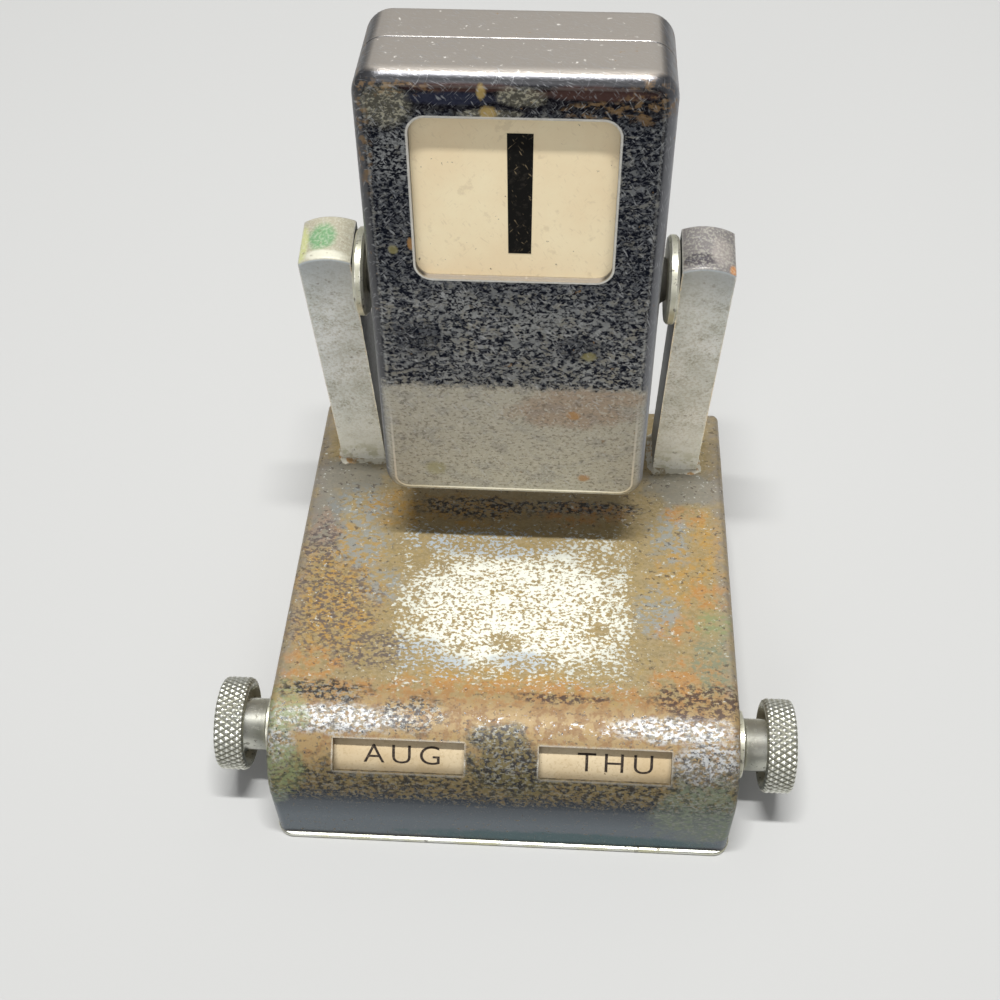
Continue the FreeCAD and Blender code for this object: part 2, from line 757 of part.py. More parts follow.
make_base_shell()
make_base_plate()
make_base_screws()
make_base_lugs()
for side, sign in SIDES.items():
    make_arm(side, sign)
    make_bushing(side, sign)
    make_friction_washer(side, sign)
    make_pivot(side, sign)
for name, sign in (("month", -1), ("weekday", 1)):
    make_drum(f"{name}_drum", sign)
    make_knob(f"{name}_knob", sign)
make_centre_bearing()
make_shell_half("front_shell", True)
make_shell_half("rear_shell", False)
make_tile_guide("tile_guide_left", -1)
make_tile_guide("tile_guide_right", 1)
make_tiles()
export_nodes()
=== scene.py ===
import math
from functools import partialmethod

import bmesh
import bpy
from mathutils import Matrix, Vector


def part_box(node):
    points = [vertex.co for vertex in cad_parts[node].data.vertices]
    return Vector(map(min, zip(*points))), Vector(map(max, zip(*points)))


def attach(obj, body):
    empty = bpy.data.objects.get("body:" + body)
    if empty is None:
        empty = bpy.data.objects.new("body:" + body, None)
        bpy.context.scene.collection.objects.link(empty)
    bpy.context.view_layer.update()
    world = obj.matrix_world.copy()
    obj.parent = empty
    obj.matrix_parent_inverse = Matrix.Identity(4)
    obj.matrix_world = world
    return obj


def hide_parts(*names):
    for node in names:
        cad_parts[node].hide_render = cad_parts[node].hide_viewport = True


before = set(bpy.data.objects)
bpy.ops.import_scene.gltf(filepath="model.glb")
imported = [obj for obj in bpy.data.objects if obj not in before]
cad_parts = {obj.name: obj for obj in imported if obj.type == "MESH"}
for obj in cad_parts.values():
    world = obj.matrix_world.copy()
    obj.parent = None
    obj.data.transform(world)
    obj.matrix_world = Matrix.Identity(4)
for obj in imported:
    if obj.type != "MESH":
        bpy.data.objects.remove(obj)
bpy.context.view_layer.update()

MM = 0.001

# Places and sizes in metres, read from the imported parts or taken from the construction.
KNOB_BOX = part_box("weekday_knob")
DRUM_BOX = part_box("weekday_drum")
FLANGE_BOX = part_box("right_bushing")
AXLE_Y, AXLE_Z = ((DRUM_BOX[0][axis] + DRUM_BOX[1][axis]) / 2 for axis in (1, 2))
DRUM_RADIUS = (DRUM_BOX[1][2] - DRUM_BOX[0][2]) / 2
KNOB_RADIUS = (KNOB_BOX[1][2] - KNOB_BOX[0][2]) / 2
KNOB_END = KNOB_BOX[1][0]
KNOB_WIDTH = 3.85 * MM
KNOB_START = KNOB_END - KNOB_WIDTH
FLANGE_END = FLANGE_BOX[1][0]
LEAN = math.radians(14.8)
CASE_UP = Vector((0, math.sin(LEAN), math.cos(LEAN)))
CASE_AHEAD = Vector((0, -math.cos(LEAN), math.sin(LEAN)))
PIVOT = Vector((0, 23.05, 51.22)) * MM
HALF_DEPTH = 7.9 * MM
CASE_WALL = 0.9 * MM
CASE_FACE = {
    "half": 17.1 * MM, "low": -30.45 * MM, "high": 30.45 * MM,
    "corner": 3.2 * MM, "inset": 1.5 * MM, "line": "rim",
}
FACE_WINDOW = {
    "half": 11.25 * MM, "low": 4.95 * MM, "high": 25.4 * MM,
    "corner": 1.9 * MM, "inset": 0, "line": "window",
}
SLOT_EASE = 0.04 * MM
INK_THICK = 0.03 * MM
BACK_PLACE = 32.65 * MM
BACK_HEIGHT = 7.8 * MM
DECK_FALL = 12.9 / 61.83

# Camera, as the photograph was taken.
FOCAL_SHARE = 1.32411
CAMERA_PLACE = Vector((5.993, -80.696, 177.89)) * MM
PITCH = math.radians(60.24)
YAW = math.radians(-5.057)
ROLL = math.radians(2.381)
SENSOR = 36
NEAREST = 5 * MM

# Tones: red, green and blue as a screen shows them, roughness and metal.
TONES = {
    "bare_plate": (150, 148, 142, 0.3, 0.95), "worn_edge": (196, 190, 176, 0.3, 1),
    "case_painted_dark_reflection": (20, 23, 33, 0.24, 1), "scratch": (190, 192, 194, 0.35, 0.9),
    "case_edge": (208, 202, 192, 0.28, 1), "rim": (222, 222, 212, 0.22, 1),
    "arm": (250, 254, 254, 0.42, 0.35), "arm_edge": (244, 242, 234, 0.26, 1),
    "pale_metal": (204, 202, 184, 0.4, 0.75), "pale_metal_dull": (178, 176, 152, 0.46, 0.6),
    "steel": (158, 156, 150, 0.36, 0.95), "steel_dull": (132, 130, 124, 0.46, 0.85),
    "brass": (176, 144, 84, 0.34, 0.95), "brass_dull": (142, 112, 62, 0.44, 0.85),
    "small_speck": (82, 76, 66, 0.55, 0.5), "small_edge": (230, 228, 220, 0.25, 1),
    "ivory": (246, 230, 192, 0.42, 0), "ivory_stain": (196, 174, 138, 0.5, 0),
    "paper": (214, 196, 162, 0.62, 0), "tile_ink": (12, 11, 9, 0.75, 0),
    "tile_ink_thin": (34, 31, 27, 0.75, 0), "drum_ink": (54, 47, 42, 0.7, 0),
    "drum_ink_thin": (86, 76, 64, 0.7, 0), "knob": (202, 202, 189, 0.36, 0.95),
    "solder": (186, 182, 166, 0.62, 0.3), "floor": (180, 180, 178, 0.8, 0),
}

# Grains: scale per metre, level above which a speck shows, softness of its edge, factor across, if any.
GRAINS = {
    "mottle": (1000, 0.5, 0.07), "fine": (2600, 0.52, 0.06, 0.72),
    "grit": (1700, 0.62, 0.02, 0.72), "broad": (95, 0.5, 0.12),
    "smears": (1500, 0.5, 0.03, 0.72), "sparkle": (2500, 0.5, 0.035, 0.72),
    "flakes": (1500, 0.49, 0.05, 0.72), "film_flakes": (760, 0.49, 0.06),
    "silver": (2200, 0.5, 0.04, 0.72), "silver_dark": (2500, 0.555, 0.03, 0.72),
    "glints": (1500, 0.61, 0.02, 0.72), "purple": (2100, 0.52, 0.04, 0.72),
    "soot": (1900, 0.505, 0.035, 0.72), "soot_flecks": (2700, 0.56, 0.03, 0.72),
    "cloud": (140, 0.49, 0.12), "pits": (2200, 0.516, 0.03, 0.65),
    "tiny": (3300, 0.53, 0.04, 0.65), "pit_groups": (620, 0.54, 0.06),
    "rust": (1000, 0.69, 0.015), "rust_flakes": (1300, 0.53, 0.04, 0.65),
    "streaks": (500, 0.55, 0.04, 0.65), "low_dark": (3000, 0.565, 0.04, 0.65),
    "low_pale": (2900, 0.58, 0.04, 0.65), "crest_flecks": (1300, 0.67, 0.02),
    "stain": (180, 0.52, 0.08), "under_flakes": (420, 0.56, 0.03),
    "rim_specks": (900, 0.66, 0.03), "arm_cloud": (190, 0.5, 0.12),
    "arm_fine": (3000, 0.52, 0.05), "arm_stains": (380, 0.57, 0.06),
    "crown_specks": (3400, 0.53, 0.05), "arm_specks": (950, 0.66, 0.04),
    "foot_stains": (700, 0.53, 0.06), "small_cloud": (300, 0.5, 0.1),
    "small_specks": (1600, 0.62, 0.03), "ivory_cloud": (90, 0.5, 0.16),
    "ivory_stains": (600, 0.64, 0.04), "ivory_specks": (1300, 0.7, 0.01),
    "paper_cloud": (160, 0.5, 0.14), "paper_fibres": (2600, 0.58, 0.03),
    "paper_specks": (1400, 0.71, 0.01), "thin_ink": (1500, 0.6, 0.05),
    "dimples": (900, 0.55, 0.05), "solder_stains": (500, 0.6, 0.03),
}

# Patches: centre and reach along each axis in millimetres, raggedness.
PATCHES = {
    # The next three shape the painted pool of reflected light on the deck.
    "heart": [(1, -5, 15.6, 15, 9.5, 20, 0.9)],
    "holes": [
        (-12.8, 3, 14, 1.5, 1.9, 5, 0.7), (-12.4, 6.8, 13, 1.2, 0.9, 5, 0.7),
        (0, -10.6, 16.8, 2.2, 1.5, 5, 1.2), (12, -8, 16, 1.3, 1.3, 5, 0.9),
        (3, 6.4, 13, 3.2, 1, 5, 1.2),
    ],
    "blue_worn": [
        (-4, 6.6, 13.3, 12, 3, 5, 1.8), (-11.5, -13.4, 17.4, 3.4, 3, 5, 1.2),
        (-9, -14.8, 17.7, 4, 2.6, 5, 1.4), (11.6, -16.7, 18, 5, 1, 4, 1.2),
        (2, -13.4, 17, 4, 1.6, 4, 1.4),
    ],
    "smears": [
        (-21, 4.5, 13.7, 4, 4.5, 5, 1.8), (-17.8, -1.9, 15, 3, 3, 5, 1.8),
        (-22.5, 12, 12, 4, 4, 5, 1.8), (22, 8, 12.8, 3, 4.6, 5, 1.8),
        (19.6, -4.5, 15.8, 3.2, 4, 5, 1.8),
    ],
    "feet": [
        (24, 17.4, 11, 6, 3.4, 4, 1.6), (-25, 17.4, 11, 6, 3.6, 4, 1.8), (-27, 10, 12, 2.4, 7, 4, 1.8),
    ],
    "orange": [
        (-25.5, -15.4, 17.6, 5, 3.2, 5, 1.8), (26.6, -2.4, 15, 3, 3, 5, 1.8),
        (22.3, -7.4, 16, 3.2, 2.6, 5, 1.8), (9.6, 11.8, 12.1, 6, 2.4, 5, 1.8),
        (24, -15.5, 17.4, 5.5, 3.6, 5, 2), (0, -18.6, 18.3, 30, 2.2, 4, 1.5),
        (-27, 8, 13, 2.4, 3.4, 5, 1.6), (24, 12, 12, 3, 2, 5, 1.6),
    ],
    "ochre": [
        (-24, -4, 14.9, 6.5, 11, 8, 2), (-17, 11.8, 12.1, 5, 3.2, 5, 1.8),
        (24.5, 1.5, 14.3, 5, 6, 8, 2.2), (0, -16.4, 18, 12, 1.8, 4, 1.6), (-7, 12, 12.1, 9, 3, 5, 1.8),
        (27, 8, 13, 2.6, 5, 5, 1.8),
    ],
    # silver and glints: bare chrome on the nose, partly a painted highlight of the lamp above; glints are
    # painted highlight specks.
    "silver": [
        (-21.5, -22.7, 18.7, 9.5, 1.9, 3, 1.1), (22, -22.4, 18.7, 8.5, 1.7, 3, 1.1),
        (26, -26.6, 17, 4.6, 3.6, 4.5, 1.5), (-29, -25, 17, 2.4, 4.5, 4.5, 1.5),
    ],
    "glints": [
        (-1.3, -22.9, 18.6, 2.6, 1.4, 3, 1.2), (5.8, -23.2, 18.6, 1.6, 1.2, 3, 1.2),
        (12, -22.6, 18.7, 5, 1, 3, 1.4),
    ],
    "green": [
        (-28.2, -28, 14.2, 3.2, 3.6, 4.4, 1.6), (-28.2, -21.5, 18.2, 3, 3.6, 3, 1.8),
        (27.3, -6.3, 16, 2.4, 2.6, 4, 1.8),
    ],
    "grey_green": [(27, -12.6, 17.2, 2.4, 4.6, 4, 2), (26.4, -30.2, 12.4, 6, 3.4, 4.4, 1.8)],
    "front_green": [(26.4, -31, 9.5, 7, 3, 6.4, 1.6), (-29.5, -30.5, 12, 1.8, 3, 3, 1.4)],
    "purple": [
        (-23.9, -5.8, 15.8, 6, 8, 6, 1.8), (-19, -12.4, 17.1, 6, 3.4, 5, 1.8),
        (-27, 4, 14, 2.4, 6, 5, 1.8),
    ],
    "soot": [
        (-23.3, -19, 18.6, 6, 1.6, 3, 1.4), (-11.4, -21.8, 18.8, 4.4, 2.3, 3, 1.4),
        (-0.8, -24.2, 18, 3.6, 1.9, 3, 2), (0.8, -27.2, 16.5, 5.2, 3.4, 4.6, 1.8),
        (-5.6, 12.3, 12, 8.5, 2.2, 5, 1.3), (8, 13, 12, 10, 1.3, 5, 1.3),
    ],
    "nose_middle": [(-0.8, -24.4, 18, 3.6, 2, 3, 2), (0.8, -27.4, 16.4, 5.6, 3.6, 4.6, 1.9)],
    "red_soot": [(25, -18.6, 18.5, 6.5, 2.6, 3, 1.5), (7, -18.8, 18.5, 6, 0.8, 3, 1.4)],
    "teal": [(8, -32, 2.4, 20, 3, 1.6, 1.4)],
    "green_mark": [(-23.6, 24.4, 56.2, 2, 2, 1.3, 1)],
    "left_mark": [(-22.8, 21.6, 55.6, 2.6, 0.7, 1.2, 1)],
    "yellow_mark": [(-26, 23.4, 55.4, 0.9, 3, 1.4, 1)],
    "dark_mark": [(21.6, 22.4, 56, 2.4, 0.9, 1.2, 1)],
    "right_mark": [(24.6, 23.6, 55.8, 1.4, 2.2, 1.2, 1)],
    "rust_mark": [(25.9, 21.3, 54.9, 0.7, 0.9, 0.8, 1)],
}
# Patches of the upright case: place across and up, reach across and up, raggedness.
CASE_PATCHES = {
    "rusty": [
        (14.2, 27.5, 3, 2.2, 1.6), (8.8, 26.6, 4, 1, 1.6), (-12.5, 28.7, 4.5, 0.9, 1.6),
        (-16, 22, 0.8, 6, 1.6),
    ],
    "drip": [(-2.6, 26.1, 0.9, 0.9, 2), (-3.4, 28.4, 0.5, 0.9, 1.8)],
    "yellow_dots": [(-13.7, 8.8, 0.55, 0.55, 1.2), (-10.2, -25.4, 1.5, 1.1, 2), (9, -6, 0.9, 0.7, 1.8)],
    "orange_dots": [
        (9.3, -26.5, 0.8, 0.6, 1.8), (-11.7, 9.6, 0.35, 0.8, 1.4), (7.6, -15.6, 0.8, 0.7, 2),
    ],
    "pale": [(-13.4, 26.6, 2.6, 2.4, 1), (0.8, 28, 2.6, 1.1, 1.2), (-2.6, 26, 3.4, 0.5, 1.2)],
    "brown": [(10, -12.6, 7, 1.8, 1.2), (7, -15, 7, 3, 1.6)],
    "blue": [(-6.5, 27.7, 5.2, 0.75, 0.9)],
    "streaks": [(8.4, 28.5, 6.5, 0.8, 1.2), (-6, 28.9, 6, 0.5, 1.2)],
    "voids": [(-11.6, -3.5, 3.2, 2.6, 1.6), (8, -4.8, 2.6, 2, 1.6), (12, 25.8, 3, 1.6, 1.4)],
    "dust": [(-12, 20.5, 4, 3, 1.6), (-6.6, 1.6, 3.2, 1.8, 1.6), (3, -1.2, 4.6, 2.4, 1.8)],
}
FACE_REACH = 5
for patch_name, spots in CASE_PATCHES.items():
    PATCHES[patch_name] = [(x, 0, z, wide, FACE_REACH, high, rag) for x, z, wide, high, rag in spots]

# Lines: where a zone begins and where it is complete, in millimetres.
LINES = {
    "front_height": (13.8, 10), "front_place": (-19, -21),
    "nose_place": (-17.2, -20.2), "light_pool_side": (16.9, 14.6),
    "light_pool_front": (-19.5, -13.5), "light_pool_back": (10.2, 7),
    "deck_side": (19, 28), "deck_back": (4, 15),
    "deck_edge": (27.5, 28.7), "under_windows": (17, 15.4),
    "front_top": (6, 12), "front_foot": (1.9, 1),
    "case_low": (-10.8, -11.7), "case_above": (25.4, 26.6),
    "arm_low": (24, 13), "arm_base": (18, 12.5),
    "arm_high": (46, 54.5), "arm_inner": (-15, -20),
    "window_outer": (0.3, 0.2), "window_inner": (-0.4, -0.3),
    "rim_outer": (0.2, 0.12), "rim_inner": (-0.16, -0.08),
    "case_foot": (-13, -28), "right_side": (15.4, 16.8),
    "beside_window": (1.5, 5),
}

# Limits: where a plain number begins to count and where it counts in full.
LIMITS = {
    "patch": (1.2, 0.75), "edge": (0.995, 0.9),
    "broken_edge": (0.3, 0.55), "front": (0.35, 0.65),
    "crest": (0.8, 0.94), "face": (0.9, 0.97),
    "low_face": (0.6, 0.9), "frame_line": (0.5, 0.8),
    "window_line": (0.2, 0.4), "rim_above": (0.93, 0.99),
    "rim_under": (0.3, 0.8), "crown": (0.45, 0.75),
    "groove": (0.42, 0.08), "tip": (0.38, 0.8),
}

# Noises: scale per metre, detail, roughness, and the swing of a border or the strength of a relief.
NOISES = {
    "border": (420, 5, 0.7, 6 * MM), "front": (1900, 4, 0.7, 3.4),
    "clusters": (330, 4, 0.65, 0.3), "case_border": (700, 5, 0.6, 3 * MM),
    "case_specks": (2400, 4, 0.7, 3 * MM), "base": (3000, 4, 0.6, 0.22),
    "case": (3200, 3, 0.6, 0.2), "rim": (1500, 3, 0.6, 0.2),
    "arm": (2600, 4, 0.65, 0.25), "small": (2400, 3, 0.6, 0.2),
    "tile": (700, 3, 0.6, 0.08), "paper": (3200, 3, 0.6, 0.15),
    "ink": (2600, 3, 0.6, 0.1), "knob": (2600, 3, 0.6, 0.2),
    "solder": (1200, 4, 0.6, 0.6),
}

# Widths of worn edges in millimetres, and scratches: tone, level above which they show, share.
EDGE_WIDTHS = {"worn_edge": 0.5, "case_edge": 0.5, "arm_edge": 0.4, "small_edge": 0.3}
SCRATCHES = {
    "case": ("scratch", 0.66, 0.5),
    "arm": ("scratch", 0.67, 0.3),
    "tile": ("ivory_stain", 0.68, 0.25),
    "ink": ("ivory_stain", 0.7, 0.35),
}


def tint(red, green, blue):
    """A colour as it looks on a screen, as the shader's own values."""
    linear = []
    for value in (red, green, blue):
        share = value / 255
        linear.append(share / 12.92 if share <= 0.04045 else ((share + 0.055) / 1.055) ** 2.4)
    return (*linear, 1)


# Node helpers

class Value:
    """A number made by nodes, so that sums on masks read like plain ones."""

    def __init__(self, tree, socket):
        self.tree = tree
        self.socket = socket

    def joined(self, operation, other=0.0):
        node = add(self.tree, "ShaderNodeMath", {0: self, 1: other}, operation=operation)
        return Value(self.tree, node.outputs[0])

    __add__ = partialmethod(joined, "ADD")
    __sub__ = partialmethod(joined, "SUBTRACT")
    __mul__ = partialmethod(joined, "MULTIPLY")
    __or__ = partialmethod(joined, "MAXIMUM")
    __abs__ = partialmethod(joined, "ABSOLUTE")

    def __invert__(self):
        """What is left of a mask."""
        return self * -1 + 1

    def rise(self, start, end):
        """0 before the start, 1 past the end, whichever of the two is the larger."""
        node = add(self.tree, "ShaderNodeMapRange", {"Value": self, "From Min": start, "From Max": end})
        return Value(self.tree, node.outputs["Result"])

    def past(self, line):
        """How far a place is over one of the lines."""
        start, end = LINES[line]
        return self.rise(start * MM, end * MM)

    def over_limit(self, limit):
        """How far a plain number is over one of the limits."""
        return self.rise(*LIMITS[limit])


def feed(tree, socket, value):
    """Link a socket, or set a plain value."""
    if isinstance(value, Value):
        value = value.socket
    if isinstance(value, bpy.types.NodeSocket):
        tree.links.new(value, socket)
    else:
        socket.default_value = value


def add(tree, kind, values=None, **settings):
    """A node with its settings and inputs."""
    node = tree.nodes.new(kind)
    for name, value in settings.items():
        setattr(node, name, value)
    for name, value in (values or {}).items():
        feed(tree, node.inputs[name], value)
    return node


def move(tree, operation, first, second=(0, 0, 0)):
    """One sum on two vectors, as a vector."""
    return add(tree, "ShaderNodeVectorMath", {0: first, 1: second}, operation=operation).outputs["Vector"]


def measure(tree, operation, first, second=(0, 0, 0)):
    """One sum on two vectors, as a number."""
    node = add(tree, "ShaderNodeVectorMath", {0: first, 1: second}, operation=operation)
    return Value(tree, node.outputs["Value"])


def noise(tree, place, scale, detail, roughness):
    """A noise value round one half."""
    node = add(tree, "ShaderNodeTexNoise", {
        "Vector": place, "Scale": scale, "Detail": detail, "Roughness": roughness,
    })
    return Value(tree, node.outputs[0])


def new_group(name, inputs):
    """An empty node group with float or vector inputs and one mask output."""
    group = bpy.data.node_groups.new(name, "ShaderNodeTree")
    for label, kind in inputs.items():
        group.interface.new_socket(name=label, in_out="INPUT", socket_type=f"NodeSocket{kind}")
    group.interface.new_socket(name="Mask", in_out="OUTPUT", socket_type="NodeSocketFloat")
    start = group.nodes.new("NodeGroupInput")
    end = group.nodes.new("NodeGroupOutput")
    given = {}
    for label, kind in inputs.items():
        socket = start.outputs[label]
        given[label] = Value(group, socket) if kind == "Float" else socket
    return group, given, end.inputs["Mask"]


SPECK_NOISE = (5.0, 0.62)
PATCH_NOISE = (420.0, 5.0, 0.65)
SCRATCH_NOISE = (1.0, 1.0, 0.4)
SCRATCH_RUNS = ((0.6, (260, 9000, 900)), (-0.9, (9000, 300, 900)), (1.25, (300, 9000, 1200)))
SCRATCH_AXIS = (0.2, 0.9, 0.3)
SCRATCH_FULL = 0.78
EDGE_NOISE = (900.0, 4.0, 0.7)
EDGE_SAMPLES = 6


def make_speck_group():
    """Specks and blotches: noise above a level, with a soft or sharp edge."""
    group, given, mask = new_group("specks", {
        "Place": "Vector", "Scale": "Float", "Level": "Float", "Softness": "Float",
    })
    grain = noise(group, given["Place"], given["Scale"], *SPECK_NOISE)
    level, softness = given["Level"], given["Softness"]
    feed(group, mask, grain.rise(level - softness, level + softness))
    return group


def make_patch_group():
    """A ragged patch round a centre, with its own reach along each axis."""
    group, given, mask = new_group("patch", {
        "Place": "Vector", "Centre": "Vector", "Reach": "Vector", "Ragged": "Float",
    })
    away = move(group, "SUBTRACT", given["Place"], given["Centre"])
    distance = measure(group, "LENGTH", move(group, "DIVIDE", away, given["Reach"]))
    ragged = (noise(group, given["Place"], *PATCH_NOISE) - 0.5) * given["Ragged"]
    feed(group, mask, (distance + ragged).over_limit("patch"))
    return group


def make_scratch_group():
    """Fine scratches in three directions."""
    group, given, mask = new_group("scratches", {"Place": "Vector", "Level": "Float"})
    total = None
    for turn, stretch in SCRATCH_RUNS:
        turned = add(group, "ShaderNodeVectorRotate", {
            "Vector": given["Place"], "Angle": turn, "Axis": SCRATCH_AXIS,
        }).outputs[0]
        line = noise(group, move(group, "MULTIPLY", turned, stretch), *SCRATCH_NOISE)
        shown = line.rise(given["Level"], SCRATCH_FULL)
        total = shown if total is None else total | shown
    feed(group, mask, total)
    return group


def make_edge_group():
    """Worn edges: where the rounded normal leaves the flat one."""
    group, given, mask = new_group("worn_edges", {"Place": "Vector", "Width": "Float"})
    bevel = add(group, "ShaderNodeBevel", {"Radius": given["Width"]}, samples=EDGE_SAMPLES).outputs[0]
    flat = add(group, "ShaderNodeNewGeometry").outputs["Normal"]
    edge = measure(group, "DOT_PRODUCT", bevel, flat).over_limit("edge")
    broken = noise(group, given["Place"], *EDGE_NOISE).over_limit("broken_edge")
    feed(group, mask, edge * broken)
    return group


EFFECTS = (make_speck_group(), make_patch_group(), make_scratch_group(), make_edge_group())
GROUPS = {group.name: group for group in EFFECTS}
RELIEF = 0.05
X_AXIS, Y_AXIS, Z_AXIS = (1, 0, 0), (0, 1, 0), (0, 0, 1)


class Finish:
    """A material built up in layers of tones over a base."""

    def __init__(self, name, base):
        self.material = bpy.data.materials.new(name)
        self.material.use_nodes = True
        self.tree = self.material.node_tree
        self.shader = self.tree.nodes["Principled BSDF"]
        self.coordinates = add(self.tree, "ShaderNodeTexCoord").outputs
        self.place = self.coordinates["Object"]
        *colour, self.roughness, self.metal = TONES[base]
        self.colour = tint(*colour)

    def mixed(self, mask, old, new):
        return add(self.tree, "ShaderNodeMix", {0: mask, 2: old, 3: new}).outputs[0]

    def over(self, tone, mask):
        """Lay a tone where a mask lets it."""
        *colour, roughness, metal = tone
        values = {0: mask, 6: self.colour, 7: tint(*colour)}
        node = add(self.tree, "ShaderNodeMix", values, data_type="RGBA")
        self.colour = node.outputs[2]
        self.roughness = self.mixed(mask, self.roughness, roughness)
        self.metal = self.mixed(mask, self.metal, metal)

    def effect(self, group, **values):
        """The mask of a shared effect; input names are written in small letters."""
        node = self.tree.nodes.new("ShaderNodeGroup")
        node.node_tree = GROUPS[group]
        for label, value in values.items():
            feed(self.tree, node.inputs[label.capitalize()], value)
        return Value(self.tree, node.outputs["Mask"])

    def grain(self, name, level=None):
        """The specks of one of the grains."""
        scale, usual, softness, *factors = GRAINS[name]
        place = self.place
        for factor in factors:
            place = move(self.tree, "MULTIPLY", place, (factor, 1, 1))
        level = usual if level is None else level
        return self.effect("specks", place=place, scale=scale, level=level, softness=softness)

    def patches(self, name, place=None):
        """All the patches of one name."""
        place = self.place if place is None else place
        total = None
        for *sizes, ragged in PATCHES[name]:
            centre, reach = Vector(sizes[:3]) * MM, Vector(sizes[3:]) * MM
            mask = self.effect("patch", place=place, centre=centre, reach=reach, ragged=ragged)
            total = mask if total is None else total | mask
        return total

    def noise(self, name):
        """One of the noises."""
        return noise(self.tree, self.place, *NOISES[name][:3])

    def wobble(self, name):
        """A noise that swings to both sides of zero."""
        return (self.noise(name) - 0.5) * NOISES[name][3]

    def along(self, direction):
        """The place along a direction, counted from the origin."""
        return measure(self.tree, "DOT_PRODUCT", self.place, direction)

    def facing(self, direction):
        """How much the surface faces a direction, from -1 to 1."""
        return measure(self.tree, "DOT_PRODUCT", self.coordinates["Normal"], direction)

    def lay(self, layers, zones=None, place=None):
        """Lay tones in turn, each through the zones, the patches and the grain of its row."""
        for row in layers.values():
            where, share, *specks = row[5:]
            masks = []
            for name in where.split():
                masks.append(self.patches(name, place) if name in PATCHES else zones[name])
            if specks:
                grain, *least = specks
                masks.append(self.grain(grain) | least[0] if least else self.grain(grain))
            self.over(row[:5], math.prod(masks[1:], start=masks[0]) * share)

    def worn_edges(self, name):
        mask = self.effect("worn_edges", place=self.place, width=EDGE_WIDTHS[name] * MM)
        self.over(TONES[name], mask)

    def scratches(self, part):
        name, level, share = SCRATCHES[part]
        self.over(TONES[name], self.effect("scratches", place=self.place, level=level) * share)

    def finished(self, height=0.0, strength=0.0):
        """Link the layers and a relief to the shader, and give the material."""
        layers = {"Base Color": self.colour, "Roughness": self.roughness, "Metallic": self.metal}
        for socket, value in layers.items():
            feed(self.tree, self.shader.inputs[socket], value)
        bump = add(self.tree, "ShaderNodeBump", {
            "Height": height, "Strength": strength, "Distance": RELIEF * MM,
        })
        self.tree.links.new(bump.outputs[0], self.shader.inputs["Normal"])
        return self.material

    def grained(self, name):
        """The finished material with one noise as its relief."""
        return self.finished(self.noise(name), NOISES[name][3])
